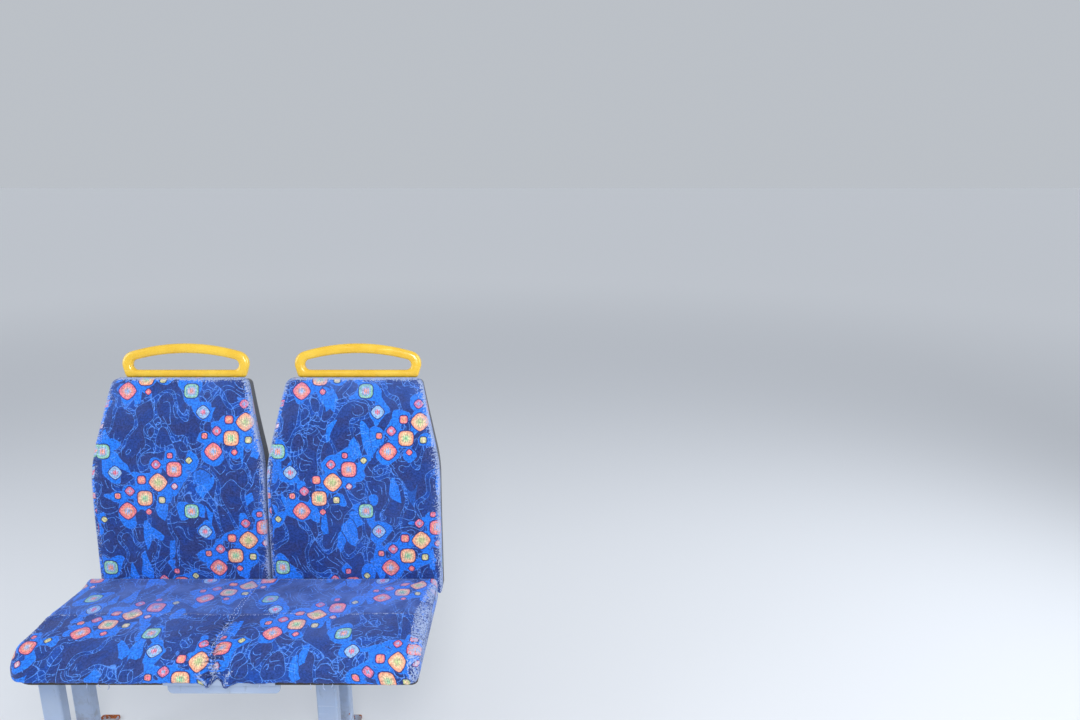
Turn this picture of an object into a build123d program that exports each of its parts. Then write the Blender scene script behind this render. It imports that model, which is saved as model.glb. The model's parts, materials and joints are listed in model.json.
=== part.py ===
# Double passenger seat of a low-floor city bus.
# Two backs with grab handles stand behind one bench cushion, on a ladder frame and two pedestals.
# Axes: X runs across the bus with the aisle at +X, the passengers face -Y, and +Z is up.
# The origin is on the floor, at the centre of the four bolts that hold the feet down.
# All sizes are in millimetres.

import math
import os

from build123d import *

os.makedirs("parts", exist_ok=True)

# Pedestals: a front post and a rear post on one narrow foot
post_width = 48.0
post_depth = 30.0
post_wall = 2.5
post_corner_r = 5.0
post_pitch = 110.0
leg_gauge = 652.0
foot_thick = 6.0
foot_tail = 80.0
foot_corner_r = 6.0
floor_bolt_r = 5.5
head_thick = 5.0

# Where the seat stands over its feet
seat_mid_x = 155.0
front_post_setback = 177.0

# Bench cushion
cushion_half_width = 430.0
cushion_wall_extra = 28.0
cushion_bottom_z = 395.0
cushion_crease_z = 456.0
cushion_crease_y = 165.0
cushion_nose_y = 60.0
cushion_nose_drop = 4.0
cushion_depth = 343.0
cushion_rear_z = 441.0
cushion_aisle_corner_r = 28.0
cushion_wall_corner_r = 64.0
cushion_shoulder_r = 24.0
cushion_shoulder_lift = 4.0
cushion_trim = 0.5

# Base board under the cushion
board_thick = 12.0
board_inset = 14.0

# Backs in side view: a straight low run, then an arc that leans away
back_low_z = 398.0
back_lumbar_z = 575.0
back_top_z = 936.0
back_lumbar_lean = 10.0
back_top_lean = 91.0
back_top_slope = 10.0

# Backs in front view, drawn at the top front edge
back_pitch = 430.0
back_gap = 1.0
back_gap_to_cushion = 0.4
back_waist_z = 690.0
back_taper_low_z = 765.0
back_half_taper = 206.0
back_half_top = 168.0
back_top_corner_r = 18.0

# Layers of a back
pad_thick_low = 42.0
pad_thick_top = 26.0
pad_to_shell = 0.4
shell_depth_low = 32.0
shell_depth_top = 32.0
shell_wall = 3.0
shell_inset = 4.0
shell_edge_chamfer = 5.0
shell_panel_inset = 36.0
shell_panel_depth = 1.5
rib_thick = 2.5
rib_setback = 2.0
rib_low_z = 470.0
rib_rise = 160.0
rib_levels = 3
rib_clearance = 0.3

# Grab handles
handle_foot_width = 298.0
handle_flare = 0.3
handle_height = 82.0
handle_depth = 22.0
handle_arch_r = 530.0
handle_top_bar = 21.0
handle_low_bar = 16.5
handle_end_bar = 26.0
handle_top_corner_r = 32.0
handle_foot_corner_r = 9.0
handle_inner_corner_r = 13.0
handle_edge_r = 8.0
handle_inner_chamfer = 3.0
handle_seat_gap = 0.3
peg_r = 6.6
peg_clearance = 0.4
peg_length = 16.0
peg_root = 8.0

# Ladder frame under the board, in square tube
rail_size = 25.0
rail_wall = 2.0
rail_corner_r = 3.0
front_rail_setback = 60.0
frame_inset = 30.0
side_rail_inset = 12.5
cap_thick = 3.0
cap_plug = 12.0
cap_clearance = 0.3

# Uprights inside the backs, in flat tube
upright_width = 25.0
upright_depth = 22.0
upright_wall = 2.0
upright_half_pitch = 128.0
upright_top_gap = 12.0

# Centre bracket under the cushion's front
bracket_width = 240.0
bracket_setback = 33.0
bracket_low_z = 348.0
bracket_sheet = 3.0
bracket_corner_r = 12.0
bracket_return = 20.0

# Places worked out from the sizes above
front_y = -(front_post_setback + post_depth / 2 + post_pitch)
front_post_y = front_y + front_post_setback + post_depth / 2
rear_post_y = front_post_y + post_pitch
front_bolt_y = (front_post_y + rear_post_y) / 2
rear_bolt_y = rear_post_y + post_pitch / 2
board_low_z = cushion_bottom_z - board_thick
rail_top_z = board_low_z
rail_mid_z = rail_top_z - rail_size / 2
rail_low_z = rail_top_z - rail_size
head_low_z = rail_low_z - head_thick
aisle_leg_x = leg_gauge / 2
wall_leg_x = -leg_gauge / 2
leg_x = {"aisle": aisle_leg_x, "wall": wall_leg_x}
back_x = {"aisle": seat_mid_x + back_pitch / 2, "wall": seat_mid_x - back_pitch / 2}
back_half = (back_pitch - back_gap) / 2
back_foot_y = front_y + cushion_depth + back_gap_to_cushion
back_top_front_y = back_foot_y + back_top_lean
slope = math.radians(back_top_slope)
top_face_dir = (0, math.cos(slope), -math.sin(slope))
top_lean_dir = (0, math.sin(slope), math.cos(slope))
handle_front_dir = (0, -math.cos(slope), math.sin(slope))
cushion_width = 2 * cushion_half_width + cushion_wall_extra
cushion_left_x = seat_mid_x - cushion_half_width - cushion_wall_extra
cushion_mid_x = cushion_left_x + cushion_width / 2
cushion_rear_y = front_y + cushion_depth
hem = (front_y - cushion_trim, cushion_bottom_z)
nose = (front_y + cushion_nose_y, cushion_crease_z - cushion_nose_drop)
crease = (front_y + cushion_crease_y, cushion_crease_z)
wall_end_x = cushion_left_x + frame_inset
aisle_end_x = seat_mid_x + cushion_half_width - frame_inset
wall_side_rail_x = wall_end_x + side_rail_inset + rail_size / 2
outrigger_end_x = wall_leg_x - post_width / 2
front_rail_y = front_y + front_rail_setback + rail_size / 2

# Depths of the layers behind the front face of a back
shell_front_low = pad_thick_low + pad_to_shell
shell_front_top = pad_thick_top + pad_to_shell
shell_rear_low = shell_front_low + shell_depth_low
shell_rear_top = shell_front_top + shell_depth_top
upright_behind_low = (shell_front_low + shell_rear_low - shell_wall) / 2
upright_behind_top = (shell_front_top + shell_rear_top - shell_wall) / 2


def lean_curve(behind_low, behind_top):
    """Side-view points low, lumbar and top of a back's face, moved behind the front face by two depths."""
    share = (back_lumbar_z - back_low_z) / (back_top_z - back_low_z)
    behind_lumbar = behind_low + (behind_top - behind_low) * share
    low = (back_foot_y + behind_low, back_low_z)
    lumbar = (back_foot_y + back_lumbar_lean + behind_lumbar, back_lumbar_z)
    top = (back_foot_y + back_top_lean + behind_top, back_top_z)
    return low, lumbar, top


def lean_layer(front_low, front_top, rear_low, rear_top):
    """Side-view face between two leaning curves, each a straight run and then an arc."""
    front = lean_curve(front_low, front_top)
    rear = lean_curve(rear_low, rear_top)
    with BuildSketch() as layer:
        with BuildLine():
            for low, lumbar, top in (front, rear):
                straight = Line(low, lumbar)
                TangentArc(lumbar, top, tangent=straight % 1)
            Line(front[2], rear[2])
            Line(rear[0], front[0])
        make_face()
    return layer.sketch


def back_outline(inset):
    """Front-view face of a back about x = 0: straight sides, a waist arc, a taper and round top corners."""
    half = back_half - inset
    half_taper = back_half_taper - inset
    half_top = back_half_top - inset
    top_z = back_top_z - inset
    low_z = back_low_z - back_top_lean
    with BuildSketch() as outline:
        with BuildLine():
            Line((half, low_z), (half, back_waist_z))
            TangentArc((half, back_waist_z), (half_taper, back_taper_low_z), tangent=(0, 1))
            Line((half_taper, back_taper_low_z), (half_top, top_z))
            mirror(about=Plane.YZ)
            Line((-half, low_z), (half, low_z))
            Line((-half_top, top_z), (half_top, top_z))
        make_face()
        fillet(outline.vertices().group_by(Axis.Y)[-1], max(back_top_corner_r - inset, shell_wall))
    return outline.sketch


def back_body(mid_x, inset, depths):
    """A leaning slab of a back, cut to the back's outline."""
    with BuildPart() as body:
        with BuildSketch(Plane.YZ.offset(mid_x - back_pitch / 2)):
            add(lean_layer(*depths))
        extrude(amount=back_pitch)
        with BuildSketch(Plane.XZ.offset(-back_top_front_y)):
            with Locations((mid_x, 0)):
                add(back_outline(inset))
        extrude(amount=back_pitch, dir=top_face_dir, both=True, mode=Mode.INTERSECT)
    return body.part


def upright_tube(mid_x, wall, margin=0.0):
    """Two flat tubes that follow a back's lean, grown all round by a margin. No wall leaves them solid."""
    with BuildPart() as tubes:
        for side in (-1, 1):
            upright_x = mid_x + side * upright_half_pitch
            with BuildLine(Plane.YZ.offset(upright_x)) as path:
                straight = Line(upright_foot, lumbar)
                TangentArc(lumbar, top, tangent=straight % 1)
            with BuildSketch(Plane(path.line @ 0, x_dir=(1, 0, 0), z_dir=path.line % 0)):
                Rectangle(upright_width + 2 * margin, upright_depth + 2 * margin)
                if wall:
                    Rectangle(upright_width - 2 * wall, upright_depth - 2 * wall, mode=Mode.SUBTRACT)
            sweep(path=path.line)
    return tubes.part


def handle_loop(inset, low, high, foot_r, top_r):
    """A closed outline with a flat bottom, flared sides, an arched top and rounded corners."""
    half_low = handle_foot_width / 2 - inset + handle_flare * low
    half_high = half_low + handle_flare * (high - low)
    shoulder = high - handle_arch_r + math.sqrt(handle_arch_r**2 - half_high**2)
    half_shoulder = half_low + handle_flare * (shoulder - low)
    with BuildSketch() as loop:
        with BuildLine():
            Polyline((half_shoulder, shoulder), (half_low, low), (-half_low, low), (-half_shoulder, shoulder))
            ThreePointArc((-half_shoulder, shoulder), (0, high), (half_shoulder, shoulder))
        make_face()
        fillet(loop.vertices().group_by(Axis.Y)[0], foot_r)
        fillet(loop.vertices().group_by(Axis.Y)[-1], top_r)
    return loop.sketch


def save(piece, name):
    """Label one finished piece and write its file."""
    piece.part.label = name
    export_step(piece.part, f"parts/{name}.step")


def rounded_tube(width, depth, wall, corner_r):
    """Hollow section with rounded outer corners."""
    with BuildSketch() as section:
        RectangleRounded(width, depth, corner_r)
        Rectangle(width - 2 * wall, depth - 2 * wall, mode=Mode.SUBTRACT)
    return section.sketch


def cushion_plan(inset):
    """Top-view face of the cushion, drawn in from its edge by an inset."""
    with BuildSketch() as plan:
        with Locations((cushion_mid_x, front_y + cushion_depth / 2)):
            Rectangle(cushion_width - 2 * inset, cushion_depth - 2 * inset)
        wall_corner = plan.vertices().group_by(Axis.Y)[0].sort_by(Axis.X)[0]
        fillet(wall_corner, cushion_wall_corner_r - inset)
        aisle_corner = plan.vertices().group_by(Axis.Y)[0].sort_by(Axis.X)[-1]
        fillet(aisle_corner, cushion_aisle_corner_r - inset)
    return plan.sketch


# Where the uprights run and where the handles sit on top of the backs
low, lumbar, top = lean_curve(upright_behind_low, upright_behind_top)
rear_rail_y = low[0]
low_lean = (lumbar[0] - low[0]) / (lumbar[1] - low[1])
upright_foot = (low[0] - low_lean * (low[1] - rail_mid_z), rail_mid_z)
chord_angle = math.atan2(top[0] - lumbar[0], top[1] - lumbar[1])
end_lean = math.tan(2 * chord_angle - math.atan(low_lean))
cut_drop = upright_top_gap - handle_seat_gap
handle_behind = (upright_behind_top - end_lean * cut_drop) / (1 + end_lean * math.tan(slope))
handle_y = back_top_front_y + handle_behind
handle_z = back_top_z + handle_seat_gap - handle_behind * math.tan(slope)
upright_cut = (seat_mid_x, handle_y, handle_z - upright_top_gap)

# Pedestal posts, feet and heads
for leg, x in leg_x.items():
    for place, y in (("front", front_post_y), ("rear", rear_post_y)):
        with BuildPart() as post:
            with BuildSketch(Plane.XY.offset(foot_thick)):
                with Locations((x, y)):
                    add(rounded_tube(post_width, post_depth, post_wall, post_corner_r))
            extrude(amount=head_low_z - foot_thick)
        save(post, f"{leg}_{place}_post")

    foot_front_y = front_post_y - post_depth / 2
    foot_rear_y = rear_post_y + post_depth / 2 + foot_tail
    with BuildPart() as foot:
        with BuildSketch():
            with Locations((x, (foot_front_y + foot_rear_y) / 2)):
                RectangleRounded(post_width, foot_rear_y - foot_front_y, foot_corner_r)
            with Locations((x, front_bolt_y), (x, rear_bolt_y)):
                Circle(floor_bolt_r, mode=Mode.SUBTRACT)
        extrude(amount=foot_thick)
    save(foot, f"{leg}_foot")

    with BuildPart() as head:
        with BuildSketch(Plane.XY.offset(head_low_z)):
            with Locations((x, (front_post_y + rear_post_y) / 2)):
                Rectangle(post_width, post_pitch + post_depth)
        extrude(amount=head_thick)
    save(head, f"{leg}_leg_head")

# Ladder frame under the bench: two cross rails with rails between them that run front to back
for place, y in (("front", front_rail_y), ("rear", rear_rail_y)):
    with BuildPart() as rail:
        with BuildSketch(Plane.YZ.offset(wall_end_x)):
            with Locations((y, rail_mid_z)):
                add(rounded_tube(rail_size, rail_size, rail_wall, rail_corner_r))
        extrude(amount=aisle_end_x - wall_end_x)
    save(rail, f"{place}_cross_rail")

long_rails = {
    "aisle_side_rail": aisle_end_x - side_rail_inset - rail_size / 2,
    "aisle_leg_rail": aisle_leg_x,
    "centre_rail": seat_mid_x,
    "wall_side_rail": wall_side_rail_x,
}
for name, x in long_rails.items():
    with BuildPart() as rail:
        with BuildSketch(Plane.XZ.offset(-(front_rail_y + rail_size / 2))):
            with Locations((x, rail_mid_z)):
                add(rounded_tube(rail_size, rail_size, rail_wall, rail_corner_r))
        extrude(amount=-(rear_rail_y - front_rail_y - rail_size))
    save(rail, name)

# Outriggers: two short rails from the wall side rail out to the head of the wall leg
outrigger_start_x = wall_side_rail_x - rail_size / 2
for place, y in (("front", front_post_y), ("rear", rear_post_y)):
    with BuildPart() as outrigger:
        with BuildSketch(Plane.YZ.offset(outrigger_end_x)):
            with Locations((y, rail_mid_z)):
                add(rounded_tube(rail_size, rail_size, rail_wall, rail_corner_r))
        extrude(amount=outrigger_start_x - outrigger_end_x)
    save(outrigger, f"wall_{place}_outrigger")

# Plastic caps in the open ends of the cross rails and outriggers
open_ends = [
    (x, y, outward)
    for x, outward in ((wall_end_x, -1), (aisle_end_x, 1))
    for y in (front_rail_y, rear_rail_y)
]
open_ends += [(outrigger_end_x, y, -1) for y in (front_post_y, rear_post_y)]
plug = rail_size - 2 * rail_wall - 2 * cap_clearance
with BuildPart() as rail_caps:
    for x, y, outward in open_ends:
        with BuildSketch(Plane.YZ.offset(x)):
            with Locations((y, rail_mid_z)):
                Rectangle(rail_size, rail_size)
        extrude(amount=outward * cap_thick)
        with BuildSketch(Plane.YZ.offset(x)):
            with Locations((y, rail_mid_z)):
                Rectangle(plug, plug)
        extrude(amount=-outward * cap_plug)
save(rail_caps, "rail_end_caps")

# Centre bracket: a folded plate that hangs in front of the front rail
bracket_y = front_y + bracket_setback
with BuildPart() as bracket:
    with BuildSketch(Plane.XZ.offset(-bracket_y)):
        with BuildLine():
            Polyline(
                (seat_mid_x - bracket_width / 2, rail_top_z),
                (seat_mid_x - bracket_width / 2, bracket_low_z),
                (seat_mid_x + bracket_width / 2, bracket_low_z),
                (seat_mid_x + bracket_width / 2, rail_top_z),
                close=True,
            )
        plate = make_face()
        fillet(plate.vertices().group_by(Axis.Y)[0], bracket_corner_r)
    extrude(amount=-bracket_sheet)
    with BuildSketch(Plane.XY.offset(rail_top_z)):
        with Locations((seat_mid_x, (bracket_y + front_rail_y - rail_size / 2) / 2)):
            Rectangle(bracket_width, front_rail_y - rail_size / 2 - bracket_y)
    extrude(amount=-bracket_sheet)
    for side in (-1, 1):
        with BuildSketch(Plane.YZ.offset(seat_mid_x + side * bracket_width / 2)):
            with BuildLine():
                Polyline(
                    (bracket_y, bracket_low_z + bracket_corner_r),
                    (bracket_y + bracket_return, bracket_low_z + bracket_corner_r + bracket_return),
                    (bracket_y + bracket_return, rail_top_z),
                    (bracket_y, rail_top_z),
                    close=True,
                )
            make_face()
        extrude(amount=-side * bracket_sheet)
save(bracket, "centre_bracket")

# Base board of the cushion
with BuildPart() as board:
    with BuildSketch(Plane.XY.offset(board_low_z)):
        add(cushion_plan(board_inset))
    extrude(amount=board_thick)
save(board, "cushion_board")

# Bench cushion: a side profile run past both ends, then trimmed to its plan and to its rounded shoulders
profile_rear_y = cushion_rear_y + cushion_trim
with BuildPart() as cushion:
    with BuildSketch(Plane.YZ.offset(cushion_left_x - cushion_shoulder_r)):
        with BuildLine():
            Polyline(hem, (profile_rear_y, cushion_bottom_z), (profile_rear_y, cushion_rear_z), crease)
            top_run = Line(crease, nose)
            TangentArc(nose, hem, tangent=top_run % 1)
        make_face()
    extrude(amount=cushion_width + 2 * cushion_shoulder_r)
    with BuildSketch(Plane.XY.offset(cushion_bottom_z - cushion_shoulder_r)):
        add(cushion_plan(0))
    extrude(amount=cushion_crease_z, mode=Mode.INTERSECT)
    with BuildSketch(Plane.XZ.offset(-cushion_rear_y - cushion_shoulder_r)):
        with Locations((cushion_mid_x, cushion_crease_z + cushion_shoulder_lift)):
            ends = Rectangle(
                cushion_width + 2 * cushion_trim, cushion_crease_z, align=(Align.CENTER, Align.MAX)
            )
        fillet(ends.vertices().group_by(Axis.Y)[-1], cushion_shoulder_r)
    extrude(amount=cushion_depth + 2 * cushion_shoulder_r, mode=Mode.INTERSECT)
save(cushion, "bench_cushion")

# Backs: pad, moulded shell, uprights and handle for each place
shell_depths = (shell_front_low, shell_front_top, shell_rear_low, shell_rear_top)
cavity_depths = (
    shell_front_low - shell_wall,
    shell_front_top - shell_wall,
    shell_rear_low - shell_wall,
    shell_rear_top - shell_wall,
)
rib_depths = (
    shell_front_low + rib_setback,
    shell_front_top + rib_setback,
    shell_rear_low - shell_wall / 2,
    shell_rear_top - shell_wall / 2,
)
panel_depths = (
    shell_rear_low - shell_panel_depth,
    shell_rear_top - shell_panel_depth,
    shell_rear_low + shell_wall,
    shell_rear_top + shell_wall,
)
for seat, x in back_x.items():
    with BuildPart() as pad:
        add(back_body(x, 0, (0, 0, pad_thick_low, pad_thick_top)))
    save(pad, f"{seat}_back_pad")

    peg_planes = [
        Plane((x + side * upright_half_pitch, handle_y, handle_z), z_dir=top_lean_dir).offset(-peg_length)
        for side in (-1, 1)
    ]
    with BuildPart() as ribs:
        for level in range(rib_levels):
            with BuildSketch(Plane.XY.offset(rib_low_z + level * rib_rise)):
                with Locations((x, back_foot_y)):
                    Rectangle(back_pitch, back_pitch)
            extrude(amount=rib_thick)
        for side in (-1, 0, 1):
            with BuildSketch(Plane.XY.offset(back_low_z)):
                with Locations((x + side * upright_half_pitch / 2, back_foot_y)):
                    Rectangle(rib_thick, back_pitch)
            extrude(amount=back_top_z)
        add(back_body(x, shell_inset + shell_wall / 2, rib_depths), mode=Mode.INTERSECT)
        add(upright_tube(x, 0, rib_clearance), mode=Mode.SUBTRACT)

    with BuildPart() as shell:
        add(back_body(x, shell_inset, shell_depths))
        rear_face = shell.faces().filter_by(GeomType.PLANE, reverse=True).sort_by(Axis.Y)[-1]
        chamfer(rear_face.edges().sort_by(Axis.Z)[1:], shell_edge_chamfer)
        add(back_body(x, shell_inset + shell_wall, cavity_depths), mode=Mode.SUBTRACT)
        add(back_body(x, shell_inset + shell_panel_inset, panel_depths), mode=Mode.SUBTRACT)
        add(ribs.part)
        for plane in peg_planes:
            with BuildSketch(plane):
                Circle(peg_r + peg_clearance)
            extrude(amount=peg_length, mode=Mode.SUBTRACT)
    save(shell, f"{seat}_back_shell")

    with BuildPart() as uprights:
        add(upright_tube(x, upright_wall))
        split(bisect_by=Plane.XY.offset(rail_top_z), keep=Keep.TOP)
        split(bisect_by=Plane(upright_cut, z_dir=top_lean_dir), keep=Keep.BOTTOM)
    save(uprights, f"{seat}_back_uprights")

    with BuildPart() as handle:
        with BuildSketch(Plane((x, handle_y, handle_z), x_dir=(1, 0, 0), z_dir=handle_front_dir)):
            add(handle_loop(0, 0, handle_height, handle_foot_corner_r, handle_top_corner_r))
            add(
                handle_loop(
                    handle_end_bar,
                    handle_low_bar,
                    handle_height - handle_top_bar,
                    handle_inner_corner_r,
                    handle_inner_corner_r,
                ),
                mode=Mode.SUBTRACT,
            )
        extrude(amount=handle_depth / 2, both=True)
        grip_axis = Axis((x, handle_y, handle_z), handle_front_dir)
        grip_faces = handle.faces().sort_by(grip_axis)
        fillet(grip_faces[0].outer_wire().edges() + grip_faces[-1].outer_wire().edges(), handle_edge_r)
        grip_faces = handle.faces().sort_by(grip_axis)
        opening_edges = grip_faces[0].inner_wires().edges() + grip_faces[-1].inner_wires().edges()
        chamfer(opening_edges, handle_inner_chamfer)
        for plane in peg_planes:
            with BuildSketch(plane):
                Circle(peg_r)
            extrude(amount=peg_length + peg_root)
    save(handle, f"{seat}_grab_handle")
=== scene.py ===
# %% [markdown]
# # A double passenger seat of a city bus, dressed in Blender
#
# The construction is already there: rails, posts, moulded shells, pads and handles come from the packed
# model. This lesson gives them their looks. It makes the padded covers from numpy surfaces, lets Blender's
# cloth swell them, weaves a patterned moquette over them, and paints, scratches and rusts the metal.
#
# Everything is in metres. X runs across the bus with the aisle at +X, the passengers face -Y, and +Z is up.

import json
import math

import bmesh
import bpy
import numpy as np
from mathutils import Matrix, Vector
from mathutils.bvhtree import BVHTree


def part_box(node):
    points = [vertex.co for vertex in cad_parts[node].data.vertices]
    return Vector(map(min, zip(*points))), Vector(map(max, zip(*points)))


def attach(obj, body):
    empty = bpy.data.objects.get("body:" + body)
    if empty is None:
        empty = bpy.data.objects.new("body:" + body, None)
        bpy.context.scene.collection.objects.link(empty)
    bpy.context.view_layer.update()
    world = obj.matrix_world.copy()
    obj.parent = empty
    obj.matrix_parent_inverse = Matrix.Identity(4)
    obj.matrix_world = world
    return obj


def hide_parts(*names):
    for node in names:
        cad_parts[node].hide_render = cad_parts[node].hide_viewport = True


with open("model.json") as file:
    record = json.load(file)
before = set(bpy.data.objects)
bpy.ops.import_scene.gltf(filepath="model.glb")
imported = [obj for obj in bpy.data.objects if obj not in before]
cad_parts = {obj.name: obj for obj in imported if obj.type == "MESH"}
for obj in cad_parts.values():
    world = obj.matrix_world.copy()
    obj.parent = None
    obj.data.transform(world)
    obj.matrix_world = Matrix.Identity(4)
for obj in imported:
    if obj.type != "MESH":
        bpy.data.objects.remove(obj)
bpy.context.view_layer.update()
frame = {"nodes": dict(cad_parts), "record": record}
scene = bpy.context.scene

# %% [markdown]
# ## Small tools
#
# A surface here is a grid of points worked out by numpy as whole arrays. One helper turns such grids into a
# mesh, another writes a named value at each vertex, which a material can read later. A third makes smooth,
# repeatable lumps out of a few sine waves, because fabric over foam is never quite even.


# %% Meshes from arrays
def grid_faces(rows, columns):
    """Quads between neighbours of a grid of rows by columns, whose last column joins its first."""
    row, column = np.meshgrid(np.arange(rows - 1), np.arange(columns), indexing="ij")
    right = (column + 1) % columns
    corners = [row * columns + column, row * columns + right]
    corners += [(row + 1) * columns + right, (row + 1) * columns + column]
    return np.stack(corners, -1).reshape(-1, 4)


def mesh_piece(name, points, faces, corner_uv=None, smooth=True):
    """An object at the origin from points (n, 3) and faces, with an optional UV pair for each face corner."""
    mesh = bpy.data.meshes.new(name)
    mesh.from_pydata(np.asarray(points).reshape(-1, 3).tolist(), [], [list(face) for face in faces])
    if corner_uv is not None:
        layer = mesh.uv_layers.new(name="weave")
        layer.data.foreach_set("uv", np.asarray(corner_uv, np.float32).ravel())
    mesh.polygons.foreach_set("use_smooth", [smooth] * len(mesh.polygons))
    mesh.update()
    piece = bpy.data.objects.new(name, mesh)
    scene.collection.objects.link(piece)
    return piece


def outward(piece):
    """Merges doubles and turns all faces outwards."""
    work = bmesh.new()
    work.from_mesh(piece.data)
    bmesh.ops.remove_doubles(work, verts=work.verts, dist=1e-6)
    bmesh.ops.recalc_face_normals(work, faces=work.faces)
    work.to_mesh(piece.data)
    work.free()
    piece.data.update()
    return piece


def joined(name, parts):
    """One object from several (points, faces) parts, the faces of each counted on from the one before."""
    points = [part.reshape(-1, 3) for part, _ in parts]
    firsts = np.cumsum([0] + [len(part) for part in points[:-1]])
    faces = np.concatenate([faces + first for (_, faces), first in zip(parts, firsts)])
    return outward(mesh_piece(name, np.concatenate(points), faces))


# %% Numbers at the vertices
def triples(layer, key):
    """Three numbers for each vertex, read from a layer of a mesh as one array."""
    flat = np.empty(len(layer) * 3, np.float32)
    layer.foreach_get(key, flat)
    return flat.reshape(-1, 3).astype(float)


def points_of(piece):
    """The piece's vertices as an array."""
    return triples(piece.data.vertices, "co")


def set_points(piece, points):
    """Moves the piece's vertices to the given points."""
    piece.data.vertices.foreach_set("co", np.asarray(points, np.float32).ravel())
    piece.data.update()


def set_value(piece, name, values):
    """Writes one number for each vertex under a name that a material can read."""
    layer = piece.data.attributes.new(name, "FLOAT", "POINT")
    layer.data.foreach_set("value", np.asarray(values, np.float32).ravel())


# %% Sums that come up often
def unit(vectors):
    """The vectors along the last axis, each brought to length 1."""
    return vectors / np.linalg.norm(vectors, axis=-1, keepdims=True)


def run_of(points):
    """How far along a line of points each of them lies, starting from 0."""
    return np.append(0, np.cumsum(np.linalg.norm(np.diff(points, axis=0), axis=1)))


def at_run(place, run, values):
    """Rows of values that belong to the runs, read between them at other places."""
    return np.stack([np.interp(place, run, column) for column in values.T], 1)


def around(count):
    """The angles of some points evenly round a circle."""
    return np.linspace(0, 2 * math.pi, count, endpoint=False)


def lumps(points, scale, seed, waves=7):
    """A smooth bumpy value from -1 to 1: the mean of a few sine waves in seeded directions."""
    chance = np.random.default_rng(seed)
    directions = unit(chance.normal(size=(waves, 3)))
    lengths = scale * chance.uniform(0.7, 1.6, waves)
    phases = chance.uniform(0, 2 * math.pi, waves)
    angles = points @ (directions * (2 * math.pi / lengths)[:, None]).T + phases
    return np.sin(angles).mean(1) * 2


def smooth_step(x, start, end):
    """0 before start, 1 after end, an S between them. Start may be the larger one."""
    t = np.clip((x - start) / (end - start), 0, 1)
    return t * t * (3 - 2 * t)


def bell(x, width):
    """1 at zero, falling to almost nothing at twice the width, as exp of minus the square."""
    return np.exp(-((x / width) ** 2))


# %% [markdown]
# ## Camera
#
# The photograph was taken standing in the aisle near the front of the bus, looking straight to the rear and
# a little down. Its focal length and tilt came from the vanishing lines of the bus. The same frame of
# 1080 by 720 is kept, so the seat sits low and to the left, and its legs run out of the picture.

# %% Camera
eye, tilt_down = (0.8296, -1.7038, 1.4365), math.radians(13.87)
sensor_mm, lens_mm, nearest = 36.0, 25.79, 0.01
camera_data = bpy.data.cameras.new("camera")
camera_data.sensor_width, camera_data.lens, camera_data.clip_start = sensor_mm, lens_mm, nearest
camera = bpy.data.objects.new("camera", camera_data)
camera.location = eye
camera.rotation_euler = (math.pi / 2 - tilt_down, 0, 0)
scene.collection.objects.link(camera)
scene.camera = camera
print("camera", camera.location[:], "lens", camera_data.lens)

# %% [markdown]
# ## The padded covers
#
# Each pad is foam under a stretched moquette cover: one long panel over the cushion, boxing strips down the
# ends, seams where they meet. A modelled block looks dead, because its faces stay flat between its edges.
# So each cover starts as a ring surface a little smaller than the pad. Its rings follow the pad's profile,
# its ends close over rounded shoulders, and its UV map is measured along the cloth in metres. Blender's
# cloth then blows it up slightly between the lines where it is sewn down. Remeshing isn't needed, since the
# rings are already even quads, and so the UV map survives.


# %% Profiles and ring surfaces
def corner_arc(corner, way_in, way_out, radius, count):
    """The arc of a radius that touches both sides of a corner, as so many points.

    It starts before the corner, by the radius times the tangent of half the turn."""
    turn = math.acos(np.clip(way_in @ way_out, -1, 1))
    angle = np.linspace(0, turn, count)
    side = unit(way_out - way_in * (way_in @ way_out))
    arc = np.outer(np.sin(angle), way_in) + np.outer(1 - np.cos(angle), side)
    return corner - way_in * radius * math.tan(turn / 2) + arc * radius


def rounded_loop(corners, radii, step):
    """A closed clockwise outline: straight runs joined by tangent arcs, sampled about every step.

    Returns the points, the outward normals, the run of each point and the whole length."""
    corners = np.asarray(corners, float)
    parts = []
    for before, corner, after, radius in zip(np.roll(corners, 1, 0), corners, np.roll(corners, -1, 0), radii):
        way_in, way_out = unit(corner - before), unit(after - corner)
        length = math.acos(np.clip(way_in @ way_out, -1, 1)) * radius
        parts.append(corner_arc(corner, way_in, way_out, radius, int(length / step * 1.5) + 2))
    points = np.concatenate(parts)
    ring = np.vstack([points, points[:1]])
    keep = np.linalg.norm(np.diff(ring, axis=0), axis=1) > 1e-7
    ring = np.vstack([ring[:-1][keep], ring[-1:]])
    run = run_of(ring)
    place = np.linspace(0, run[-1], int(round(run[-1] / step)), endpoint=False)
    loop = at_run(place, run, ring)
    along = unit(np.roll(loop, -1, 0) - np.roll(loop, 1, 0))
    return loop, np.stack([-along[:, 1], along[:, 0]], 1), place, run[-1]


def at_x(x, outline):
    """An outline in the YZ plane placed at one X, or each of its points at its own."""
    return np.column_stack([np.broadcast_to(x, len(outline)), outline])


def ring_mesh(name, rings, uv_low, uv_high):
    """A closed skin from rings (rows, columns, 3). Each strip of faces has its own UV at both edges."""
    uv = np.stack([uv_low[:, :-1], uv_low[:, 1:], uv_high[:, 1:], uv_high[:, :-1]], 2)
    return outward(mesh_piece(name, rings, grid_faces(*rings.shape[:2]), uv.reshape(-1, 2)))


# %% Swelling a skin
cloth_pressure, cloth_frames = 4.0, 20
cloth_settings = {
    "vertex_group_mass": "held",
    "quality": 6,
    "mass": 0.4,
    "tension_stiffness": 25,
    "compression_stiffness": 25,
    "shear_stiffness": 12,
    "bending_stiffness": 1.5,
    "use_pressure": True,
    "uniform_pressure_force": cloth_pressure,
}


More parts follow.
